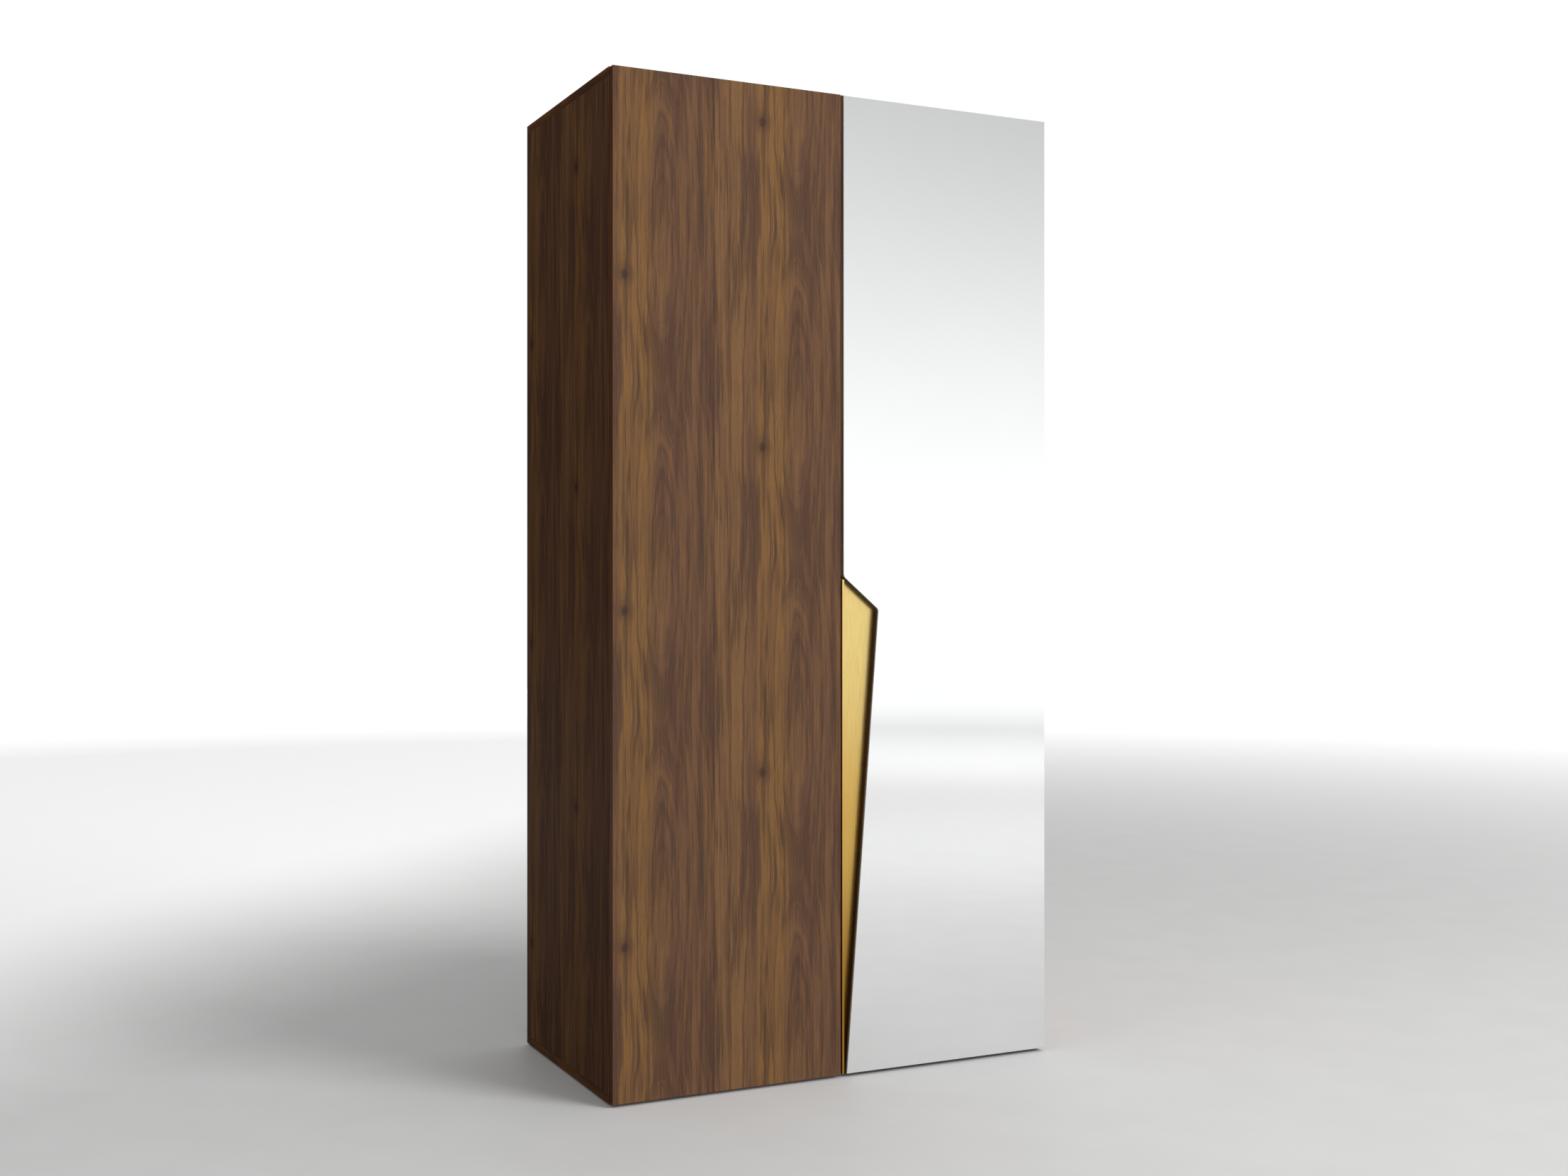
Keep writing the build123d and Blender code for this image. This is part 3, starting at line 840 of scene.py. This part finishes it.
@dataclass(frozen=True)
class Board:
    """A decor board with softened arrises, and a band of its own round the edges."""

    node: str
    body: str
    slot: str
    broad: Face
    face: Finish
    band: Finish
    inner: Finish | None = None
    inner_towards: float = 1.0
    end_band: Finish | None = None
    arris: float = 0.0006
    shortest_arris: float = 0.012
    on_face: float = 1e-5

    def build(self) -> bpy.types.Object:
        """Make the board from its CAD node.

        Returns:
            The finished piece.
        """
        copy = merged(self.node)
        bmesh.ops.dissolve_limit(copy, angle_limit=FLAT, verts=copy.verts, edges=copy.edges)
        low, high = (Vector(corner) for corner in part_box(self.node))
        bmesh.ops.bevel(copy, geom=[e for e in copy.edges if self._is_arris(e, low, high)], offset=self.arris,
                        segments=2, profile=0.5, affect="EDGES", clamp_overlap=True)
        bmesh.ops.triangulate(copy, faces=[f for f in copy.faces if len(f.verts) > 4])
        finishes = [self.face, self.band, self.inner or self.face, self.end_band or self.band]
        for part in copy.faces:
            part.material_index = self._finish_of(part.normal)
            part.smooth = False
        piece = settle(copy, f"{self.node}_board", [FINISHES.get(finish) for finish in finishes])
        adopt(piece, self.node, self.body)
        return piece

    def _is_arris(self, edge: bmesh.types.BMEdge, low: Vector, high: Vector) -> bool:
        """Whether an edge is one of the board's long outer corners.

        Args:
            edge: the edge.
            low: the board's lowest corner.
            high: its highest corner.

        Returns:
            True for a long edge that lies on two of the outer faces.
        """
        if edge.calc_length() < self.shortest_arris or len(edge.link_faces) != 2:
            return False
        a, b = (vert.co for vert in edge.verts)
        held = sum(abs(a[i] - b[i]) < SAME_PLACE
                   and min(abs(a[i] - low[i]), abs(a[i] - high[i])) < self.on_face for i in range(3))
        return held == 2

    def _finish_of(self, normal: Vector) -> int:
        """The material slot for a face that looks along a normal.

        Args:
            normal: the face's normal.

        Returns:
            0 for the broad face, 1 for a band, 2 for the inner face, 3 for a cap's end band.
        """
        if abs(normal[self.broad.value]) > MOSTLY:
            return 2 if normal[self.broad.value] * self.inner_towards > 0 else 0
        return 1 if self.broad is not Face.TOP or abs(normal[Face.FRONT.value]) > MOSTLY else 3


class Recipe(Graph):
    """A Geometry Nodes tree that makes one small fitting and sets a copy at every point."""

    def __init__(self, name: str, sizes: dict[str, float]) -> None:
        """Start the tree.

        Args:
            name: the tree's name.
            sizes: its named inputs with their values, in metres.
        """
        super().__init__(bpy.data.node_groups.new(name, "GeometryNodeTree"))
        face = self.tree.interface
        face.new_socket("Places", in_out="INPUT", socket_type="NodeSocketGeometry")
        for label, value in sizes.items():
            face.new_socket(label, in_out="INPUT", socket_type="NodeSocketFloat").default_value = value
        face.new_socket("Finish", in_out="INPUT", socket_type="NodeSocketMaterial")
        face.new_socket("Fittings", in_out="OUTPUT", socket_type="NodeSocketGeometry")
        self.inputs = self.node("NodeGroupInput").outputs

    def moved(self, mesh: Socket, x: Value = 0.0, z: Value = 0.0) -> Socket:
        """A mesh set aside or up.

        Args:
            mesh: the mesh.
            x: how far along X.
            z: how far up.

        Returns:
            The moved mesh.
        """
        made = self.node("GeometryNodeTransform")
        return self.plug(made, Geometry=mesh, Translation=self.point(x, 0.0, z)).outputs[0]

    def rod(self, radius: Value, length: Value, sides: int = 24) -> tuple[Socket, Socket]:
        """A closed round bar that ends at the origin and runs down.

        Args:
            radius: its radius.
            length: its length.
            sides: how many faces go round it.

        Returns:
            The mesh and the selection of its upper end.
        """
        made = self.node("GeometryNodeMeshCylinder", fill_type="NGON")
        self.plug(made, Vertices=sides, Radius=radius, Depth=length)
        return self.moved(made.outputs["Mesh"], z=self.times(length, -0.5)), made.outputs["Top"]

    def steps(self, shape: tuple[Socket, Socket], size: Value,
              shares: Iterable[tuple[float, float]]) -> tuple[Socket, Socket]:
        """Draw the upper end on several times.

        Args:
            shape: the mesh and the selection of its upper end.
            size: what the heights are shares of.
            shares: the height and the growth of each step.

        Returns:
            The new mesh and selection.
        """
        for share, growth in shares:
            shape = self.step(shape, self.times(size, share), growth)
        return shape

    def step(self, shape: tuple[Socket, Socket], height: Value, growth: Value) -> tuple[Socket, Socket]:
        """Draw the upper end on, and widen or narrow it.

        Args:
            shape: the mesh and the selection of its upper end.
            height: how far it is drawn.
            growth: the new width as a multiple of the old.

        Returns:
            The new mesh and selection.
        """
        mesh, top = shape
        drawn = self.node("GeometryNodeExtrudeMesh", mode="FACES")
        self.plug(drawn, Mesh=mesh, Selection=top, Offset_Scale=height)
        sized = self.node("GeometryNodeScaleElements")
        self.plug(sized, Geometry=drawn.outputs["Mesh"], Selection=drawn.outputs["Top"], Scale=growth)
        return sized.outputs[0], drawn.outputs["Top"]

    def block(self, size: tuple[Value, Value, Value], height: Value = 0.0) -> Socket:
        """A block centred over the origin.

        Args:
            size: its sides.
            height: how high its middle is.

        Returns:
            Its mesh.
        """
        made = self.node("GeometryNodeMeshCube")
        self.feed(made.inputs["Size"], self.point(*size))
        return self.moved(made.outputs["Mesh"], z=height)

    def cut(self, mesh: Socket, *tools: Socket) -> Socket:
        """Take tools away from a mesh.

        Args:
            mesh: the mesh.
            tools: what is cut out of it.

        Returns:
            What is left.
        """
        made = self.node("GeometryNodeMeshBoolean", operation="DIFFERENCE", solver="EXACT")
        self.feed(made.inputs["Mesh 1"], mesh)
        for tool in tools:
            self.tree.links.new(tool, made.inputs["Mesh 2"])
        return made.outputs["Mesh"]

    def joined(self, *meshes: Socket) -> Socket:
        """Several meshes as one.

        Args:
            meshes: the meshes.

        Returns:
            The joined mesh.
        """
        made = self.node("GeometryNodeJoinGeometry")
        for mesh in meshes:
            self.tree.links.new(mesh, made.inputs[0])
        return made.outputs[0]

    def spread(self, fitting: Socket) -> bpy.types.NodeTree:
        """Finish the tree: one fitting at each point, turned to face outwards.

        Args:
            fitting: the mesh of one fitting.

        Returns:
            The finished tree.
        """
        facing = self.node("GeometryNodeInputNamedAttribute", data_type="FLOAT_VECTOR")
        facing.inputs["Name"].default_value = "facing"
        turned = self.node("FunctionNodeAlignRotationToVector", axis="Z")
        self.plug(turned, Vector=facing.outputs["Attribute"])
        copies = self.node("GeometryNodeInstanceOnPoints")
        self.plug(copies, Points=self.inputs["Places"], Instance=fitting, Rotation=turned.outputs[0])
        real = self.node("GeometryNodeRealizeInstances")
        self.feed(real.inputs[0], copies.outputs[0])
        painted = self.node("GeometryNodeSetMaterial")
        self.plug(painted, Geometry=real.outputs[0], Material=self.inputs["Finish"])
        self.feed(self.node("NodeGroupOutput").inputs[0], painted.outputs[0])
        return self.tree


def screw_tree() -> bpy.types.NodeTree:
    """A countersunk or pan-head screw with a cross recess.

    Returns:
        The tree, whose origin is the middle of the head's top.
    """
    recipe = Recipe("cross_recess_screw", {"Head Radius": 0.0034, "Head Height": 0.0016,
                                           "Shank Radius": 0.0017, "Length": 0.012})
    head, tall, thin = (recipe.inputs[n] for n in ("Head Radius", "Head Height", "Shank Radius"))
    body = recipe.rod(thin, recipe.minus(recipe.inputs["Length"], tall))
    body = recipe.step(body, 0.0, recipe.math("DIVIDE", head, thin))
    body = recipe.steps(body, tall, ((0.55, 1.0), (0.30, 0.86), (0.15, 0.72)))
    wide, narrow, deep = recipe.times(head, 1.05), recipe.times(head, 0.22), recipe.times(tall, 1.5)
    cross = [recipe.block((wide, narrow, deep), tall), recipe.block((narrow, wide, deep), tall)]
    return recipe.spread(recipe.moved(recipe.cut(body[0], *cross), z=recipe.times(tall, -1.0)))


def cam_tree() -> bpy.types.NodeTree:
    """A cam lock: a cast drum with a chamfered rim, a cross recess and a pointer.

    Returns:
        The tree, whose origin is the middle of the drum's face.
    """
    recipe = Recipe("cam_lock", {"Radius": 0.0073, "Depth": 0.0133, "Slot": 0.0016})
    radius, slot = recipe.inputs["Radius"], recipe.inputs["Slot"]
    rim, dish, tool_depth = 0.0006, -0.0005, 0.005
    drum = recipe.rod(radius, recipe.minus(recipe.inputs["Depth"], rim), 36)
    for height, growth in ((rim, 0.94), (0.0, 0.82), (dish, 0.97)):
        drum = recipe.step(drum, height, growth)
    wide = recipe.times(radius, 1.15)
    tools = [recipe.block((wide, slot, tool_depth)), recipe.block((slot, wide, tool_depth))]
    mark = recipe.node("GeometryNodeMeshCone", fill_type="NGON")
    recipe.plug(mark, Vertices=3, Radius_Top=0.0, Radius_Bottom=0.0011, Depth=0.0012)
    pointer = recipe.moved(mark.outputs["Mesh"], recipe.times(radius, 0.68), -rim)
    return recipe.spread(recipe.moved(recipe.joined(recipe.cut(drum[0], *tools), pointer), z=-rim))


def glide_tree() -> bpy.types.NodeTree:
    """A nail-on furniture glide: a domed disc and a nail.

    Returns:
        The tree, whose origin is the middle of the dome.
    """
    recipe = Recipe("nail_glide", {"Radius": 0.012, "Thickness": 0.004, "Nail Radius": 0.00125,
                                   "Length": 0.015})
    radius, thick, nail = (recipe.inputs[n] for n in ("Radius", "Thickness", "Nail Radius"))
    body = recipe.rod(nail, recipe.minus(recipe.inputs["Length"], thick), 32)
    body = recipe.step(body, 0.0, recipe.math("DIVIDE", radius, nail))
    body = recipe.steps(body, thick, ((0.45, 1.0), (0.25, 0.97), (0.18, 0.90), (0.12, 0.75)))
    return recipe.spread(recipe.moved(body[0], z=recipe.times(thick, -1.0)))


def shelf_pin_tree() -> bpy.types.NodeTree:
    """A shelf pin: a stud with a thin collar and a rounded end.

    Returns:
        The tree, whose origin is the tip inside the bay.
    """
    recipe = Recipe("shelf_pin", {"Radius": 0.0025, "Collar Radius": 0.004, "Collar": 0.0006,
                                  "Reach": 0.008, "Length": 0.017})
    radius, collar, reach = (recipe.inputs[n] for n in ("Radius", "Collar Radius", "Reach"))
    body = recipe.rod(radius, recipe.minus(recipe.inputs["Length"], reach))
    body = recipe.step(body, 0.0, recipe.math("DIVIDE", collar, radius))
    body = recipe.step(body, recipe.inputs["Collar"], 1.0)
    body = recipe.step(body, 0.0, recipe.math("DIVIDE", radius, collar))
    straight = recipe.minus(reach, recipe.inputs["Collar"])
    for height, growth in ((recipe.minus(straight, 0.0008), 1.0), (0.0005, 0.85), (0.0003, 0.7)):
        body = recipe.step(body, height, growth)
    return recipe.spread(recipe.moved(body[0], z=recipe.times(reach, -1.0)))


def bumper_tree() -> bpy.types.NodeTree:
    """A soft dome that takes the knock of a closing door.

    Returns:
        The tree, whose origin is the top of the dome.
    """
    recipe = Recipe("bumper_dome", {"Radius": 0.004, "Height": 0.002})
    tall = recipe.inputs["Height"]
    body = recipe.rod(recipe.inputs["Radius"], recipe.times(tall, 0.3), 32)
    body = recipe.steps(body, tall, ((0.25, 0.96), (0.2, 0.86), (0.15, 0.7), (0.1, 0.5)))
    return recipe.spread(recipe.moved(body[0], z=recipe.times(tall, -0.7)))


def solids(node: str) -> list[tuple[Vector, Vector]]:
    """The boxes of a CAD node's separate solids.

    Args:
        node: the node's name.

    Returns:
        The lowest and highest corner of each, in metres.
    """
    copy = merged(node)
    left = set(copy.verts)
    found = []
    while left:
        group, edge = [], [left.pop()]
        while edge:
            vert = edge.pop()
            group.append(vert.co.copy())
            for link in vert.link_edges:
                other = link.other_vert(vert)
                if other in left:
                    left.discard(other)
                    edge.append(other)
        found.append(tuple(Vector(pick(co[i] for co in group) for i in range(3)) for pick in (min, max)))
    copy.free()
    return sorted(found, key=lambda limits: tuple(round(part, 5) for part in limits[0]))


@dataclass(frozen=True)
class Fittings:
    """The same small fitting at every solid of a CAD node."""

    node: str
    body: str
    slot: str
    tree: bpy.types.NodeTree
    finish: Finish
    facing: Vector | None = None
    length_input: str | None = None
    sizes: dict[str, float] = field(default_factory=dict)
    clearly_wider: float = 0.0004
    left_side: tuple[float, float] = (-0.515, -0.4)
    near_middle: float = 0.02

    def build(self) -> bpy.types.Object:
        """Set the fittings at the solids' places.

        Returns:
            The finished piece.
        """
        groups: dict[float, list[tuple[Vector, Vector]]] = {}
        for low, high in solids(self.node):
            facing = self.facing or self._towards_room(low, high)
            length = abs((high - low).dot(facing))
            place = (low + high) / 2 + facing * length / 2
            groups.setdefault(round(length, 5), []).append((place, facing))
        whole = bmesh.new()
        for length, places in groups.items():
            mesh = self._grow(places, length)
            whole.from_mesh(mesh)
            bpy.data.meshes.remove(mesh)
        piece = settle(whole, f"{self.node}_fittings", [FINISHES.get(self.finish)])
        adopt(piece, self.node, self.body)
        return piece

    def _towards_room(self, low: Vector, high: Vector) -> Vector:
        """Which way a cam, pin or rail screw faces: down, or away from the board it sits in.

        Args:
            low: the solid's lowest corner.
            high: its highest corner.

        Returns:
            The direction, one unit long.
        """
        size = high - low
        if self.length_input is None and size.x - size.z > self.clearly_wider:
            return DOWN
        middle = ((low + high) / 2).x
        in_left_side = self.left_side[0] < middle < self.left_side[1]
        in_partition = abs(middle) < self.near_middle and self.node != "shelf_pins"
        return Vector((1, 0, 0)) if in_left_side or in_partition else Vector((-1, 0, 0))

    def _grow(self, places: Iterable[tuple[Vector, Vector]], length: float) -> bpy.types.Mesh:
        """Run the tree on one group of places.

        Args:
            places: where each fitting ends, and which way it faces.
            length: how long it is.

        Returns:
            The plain mesh.
        """
        spots, ways = zip(*places)
        mesh = bpy.data.meshes.new("places")
        mesh.from_pydata([tuple(spot) for spot in spots], [], [])
        facing = mesh.attributes.new("facing", "FLOAT_VECTOR", "POINT")
        facing.data.foreach_set("vector", [part for way in ways for part in way])
        holder = bpy.data.objects.new("places", mesh)
        bpy.context.scene.collection.objects.link(holder)
        modifier = holder.modifiers.new("fittings", "NODES")
        modifier.node_group = self.tree
        wanted = dict(self.sizes, Finish=FINISHES.get(self.finish))
        if self.length_input:
            wanted[self.length_input] = length
        for item in self.tree.interface.items_tree:
            if item.name in wanted:
                modifier[item.identifier] = wanted[item.name]
        ready = holder.evaluated_get(bpy.context.evaluated_depsgraph_get())
        result = bpy.data.meshes.new_from_object(ready)
        holder.modifiers.clear()
        bpy.data.objects.remove(holder)
        bpy.data.meshes.remove(mesh)
        return result


@dataclass(frozen=True)
class Carcass:
    """The fixed boards: two sides, caps, partition, hat shelves and back panels."""

    body: str = "carcass"
    uprights: tuple[str, ...] = ("side_panel_left", "side_panel_right")
    caps: tuple[str, ...] = ("top_panel", "bottom_panel")
    shelves: tuple[str, ...] = ("hat_shelf_left", "hat_shelf_right", "adjustable_shelf_1",
                                "adjustable_shelf_2", "adjustable_shelf_3", "adjustable_shelf_4")
    backs: tuple[str, ...] = ("back_panel_left", "back_panel_right")

    def build(self) -> None:
        """Build every board of the carcass."""
        for name, towards in zip(self.uprights, (1.0, -1.0)):
            Board(name, self.body, "dark_walnut_decor", Face.SIDE, SIDE_LIT_DECOR, SIDE_LIT_DECOR,
                  INNER_UPRIGHT, towards).build()
        for name, towards in zip(self.caps, (-1.0, 1.0)):
            Board(name, self.body, "dark_walnut_decor", Face.TOP, CAP_DECOR, CAP_DECOR, INNER_SHELF,
                  towards, CAP_END_LIT_BAND).build()
        Board("centre_partition", self.body, "interior_decor", Face.SIDE, INNER_UPRIGHT,
              INNER_UPRIGHT).build()
        for name in self.shelves:
            Board(name, self.body, "interior_decor", Face.TOP, INNER_SHELF, INNER_SHELF).build()
        for name in self.backs:
            dress(name, INNER_BACK)


@dataclass(frozen=True)
class PlainDoor:
    """The left door: one board with the decor running the full height."""

    body: str = "left_door"

    def build(self) -> None:
        """Build the door; its edges get a warmer, lighter copy of the walnut as painted light."""
        Board("plain_door", self.body, "walnut_decor", Face.FRONT, DOOR_DECOR, EDGE_LIT_BAND).build()


@dataclass(frozen=True)
class MirrorDoor:
    """The right door: a carrier board, a sheet of mirror, and the gilt finger recess."""

    body: str = "right_door"
    polish: float = 0.0006
    into_recess: float = -0.2

    def build(self) -> None:
        """Build the carrier, the mirror and the recess."""
        self._carrier()
        self._mirror()
        dress("recess_floor_plate", GILT)
        dress("recess_lip", GILT)
        for node, head, shank in (("recess_lip_screws", 0.0022, 0.00125),
                                  ("recess_plate_screws", 0.0026, 0.0015)):
            Fittings(node, self.body, "gilt_screw", SCREW_TREE, BRASS, TO_BACK, "Length",
                     {"Head Radius": head, "Head Height": 0.001, "Shank Radius": shank}).build()

    def _carrier(self) -> None:
        """The board behind the mirror; its edge faces that look left or down, the recess walls among them,
        get a darker walnut as painted shade.
        """
        copy = merged("mirror_door_carrier")
        for part in copy.faces:
            # painted shade: edge faces that look left or down take the dark walnut
            inwards = min(part.normal.x, part.normal.z) < self.into_recess
            part.material_index = int(inwards and abs(part.normal.y) < EDGE_ON)
        piece = settle(copy, "mirror_carrier_board", [FINISHES.get(CARRIER_DECOR), FINISHES.get(RECESS_PAINTED_SHADE)])
        adopt(piece, "mirror_door_carrier", self.body)

    def _mirror(self) -> None:
        """The mirror sheet, with a ground and polished arris round its face."""
        copy = merged("mirror_glass")
        bmesh.ops.dissolve_limit(copy, angle_limit=FLAT, verts=copy.verts, edges=copy.edges)
        front = min(vert.co.y for vert in copy.verts)
        rim = [edge for edge in copy.edges if all(abs(vert.co.y - front) < SAME_PLACE for vert in edge.verts)
               and any(abs(part.normal.y) < EDGE_ON for part in edge.link_faces)]
        bmesh.ops.bevel(copy, geom=rim, offset=self.polish, segments=1, profile=0.5, affect="EDGES",
                        clamp_overlap=True)
        bmesh.ops.triangulate(copy, faces=[part for part in copy.faces if len(part.verts) > 4])
        for part in copy.faces:
            part.material_index = 0 if part.normal.y < -SQUARE_ON else 1
        piece = settle(copy, "silvered_mirror", [FINISHES.get(Silvering()), FINISHES.get(GlassEdge())])
        adopt(piece, "mirror_glass", self.body)


@dataclass(frozen=True)
class Hinges:
    """The five concealed hinges of one door, with their screws."""

    side: str
    sign: float

    def build(self) -> None:
        """Dress the plates, arms, cups and pins, and set the screws."""
        for part in ("hinge_arms", "hinge_plates", "hinge_cups"):
            dress(f"{part}_{self.side}", NICKEL)
        dress(f"hinge_pins_{self.side}", STEEL)
        Fittings(f"hinge_plate_screws_{self.side}", "carcass", "screw", SCREW_TREE, SCREW_STEEL,
                 Vector((-self.sign, 0, 0)), "Length").build()
        Fittings(f"cup_screws_{self.side}", f"{self.side}_door", "screw", SCREW_TREE, SCREW_STEEL,
                 TO_BACK, "Length", {"Head Height": 0.0014}).build()


@dataclass(frozen=True)
class HangingRail:
    """The oval clothes rail and its two sockets."""

    body: str = "carcass"

    def build(self) -> None:
        """Dress the rail and sockets, and set their screws."""
        dress("hanging_rail", CHROME)
        dress("rail_socket_inner", NICKEL)
        dress("rail_socket_outer", NICKEL)
        Fittings("rail_screws", self.body, "screw", SCREW_TREE, SCREW_STEEL, None, "Length", PAN_HEAD).build()


@dataclass(frozen=True)
class Joinery:
    """Cams, bolts, dowels, shelf pins, glides, bumpers and wall brackets."""

    body: str = "carcass"

    def build(self) -> None:
        """Set the fittings that repeat, and dress the ones hidden in the boards."""
        dress("cam_bolts", STEEL)
        dress("dowels", PlainBeech())
        dress("wall_brackets", STEEL)
        Fittings("cam_locks", self.body, "cam_zinc", cam_tree(), ZINC).build()
        Fittings("shelf_pins", self.body, "nickel", shelf_pin_tree(), NICKEL, None, "Length").build()
        Fittings("glides", self.body, "black_plastic", glide_tree(), BLACK, DOWN, "Length").build()
        Fittings("door_bumpers", self.body, "clear_bumper", bumper_tree(), CLEAR, TO_FRONT, "Height").build()
        Fittings("bracket_screws", self.body, "screw", SCREW_TREE, SCREW_STEEL, DOWN, "Length",
                 PAN_HEAD).build()


@dataclass(frozen=True)
class Studio:
    """The camera, the floor, a broad soft light from the front right, and pale surroundings."""

    camera_place: tuple[float, float, float] = (-1.788, -3.715, 1.065)
    camera_turn: float = -25.696
    lens: float = 41.458
    sensor: float = 36.0
    sight: float = 60.0
    shift: float = -0.00437
    key_place: tuple[float, float, float] = (4.2, -6.2, 4.4)
    key_size: float = 4.0
    key_power: float = 400.0
    fill_place: tuple[float, float, float] = (-2.9, -1.0, 2.9)
    fill_size: float = 1.4
    fill_power: float = 10.0
    around: float = 1.12
    floor_radius: float = 14.0
    floor_sides: int = 96
    looked_at: tuple[float, float, float] = (0.0, 0.0, 1.0)

    def build(self) -> None:
        """Set up the whole studio."""
        self._camera()
        self._floor()
        self._soft_light("key_light", self.key_place, self.key_size, self.key_power)
        self._soft_light("left_fill", self.fill_place, self.fill_size, self.fill_power)
        self._surroundings()
        bpy.context.scene.view_settings.view_transform = "Standard"

    def _camera(self) -> None:
        """The camera, at eye level in front of the left door."""
        data = bpy.data.cameras.new("camera")
        data.lens, data.sensor_width, data.shift_y = self.lens, self.sensor, self.shift
        data.clip_end = self.sight
        camera = bpy.data.objects.new("camera", data)
        camera.location = self.camera_place
        camera.rotation_euler = (math.pi / 2, 0, math.radians(self.camera_turn))
        bpy.context.scene.collection.objects.link(camera)
        bpy.context.scene.camera = camera

    def _floor(self) -> None:
        """A wide round floor."""
        disc = bmesh.new()
        bmesh.ops.create_circle(disc, cap_ends=True, segments=self.floor_sides,
                                radius=self.floor_radius)
        floor = settle(disc, "studio_floor", [FINISHES.get(PaleFloor())])
        floor.visible_diffuse = False

    def _soft_light(self, name: str, place: tuple[float, float, float], size: float, power: float) -> None:
        """A round soft light that looks at the middle of the object.

        Args:
            name: the light's name.
            place: where it stands.
            size: its diameter in metres.
            power: its power in watts.
        """
        data = bpy.data.lights.new(name, "AREA")
        data.shape, data.size, data.energy = "DISK", size, power
        light = bpy.data.objects.new(name, data)
        light.location = place
        light.rotation_euler = (Vector(self.looked_at) - light.location).to_track_quat("-Z", "Y").to_euler()
        light.visible_glossy = False
        bpy.context.scene.collection.objects.link(light)

    def _surroundings(self) -> None:
        """White to the camera; to everything else, dim upwards, downwards and to the left."""
        world = bpy.data.worlds.new("surroundings")
        bpy.context.scene.world = world
        world.use_nodes = True
        graph = Graph(world.node_tree)
        output = next(n for n in world.node_tree.nodes if n.type == "OUTPUT_WORLD")
        x, y, z = graph.parts(graph.node("ShaderNodeTexCoord").outputs["Generated"])
        to_right = graph.math("MULTIPLY_ADD", graph.math("MAXIMUM", x, 0.0), 2.2, 1.0)
        level = graph.fit(graph.times(graph.math("MAXIMUM", z, 0.0), to_right), 0.0, 0.72, 1.0, 0.50)
        level = graph.times(level, graph.fit(z, -0.5, 0.0, 0.15, 1.0))
        across = graph.total(graph.times(x, 0.9), graph.times(y, -0.25), graph.times(z, 0.35))
        glow = graph.times(level, graph.fit(across, -0.35, 0.4, 0.09, 1.0))
        room, backdrop = (graph.node("ShaderNodeBackground") for _ in range(2))
        for wall in (room, backdrop):
            wall.inputs["Color"].default_value = (1, 1, 1, 1)
        graph.feed(room.inputs["Strength"], graph.times(glow, self.around))
        mix = graph.node("ShaderNodeMixShader")
        seen = graph.node("ShaderNodeLightPath").outputs["Is Camera Ray"]
        for socket, value in zip(mix.inputs, (seen, room.outputs[0], backdrop.outputs[0])):
            graph.feed(socket, value)
        graph.feed(output.inputs["Surface"], mix.outputs[0])


def main() -> None:
    """Build the armoire and its studio."""
    logging.basicConfig(level=logging.INFO, format="%(name)s: %(message)s")
    Carcass().build()
    PlainDoor().build()
    MirrorDoor().build()
    Hinges("left", -1.0).build()
    Hinges("right", 1.0).build()
    HangingRail().build()
    Joinery().build()
    Studio().build()


SCREW_TREE = screw_tree()

if __name__ == "__main__":
    main()
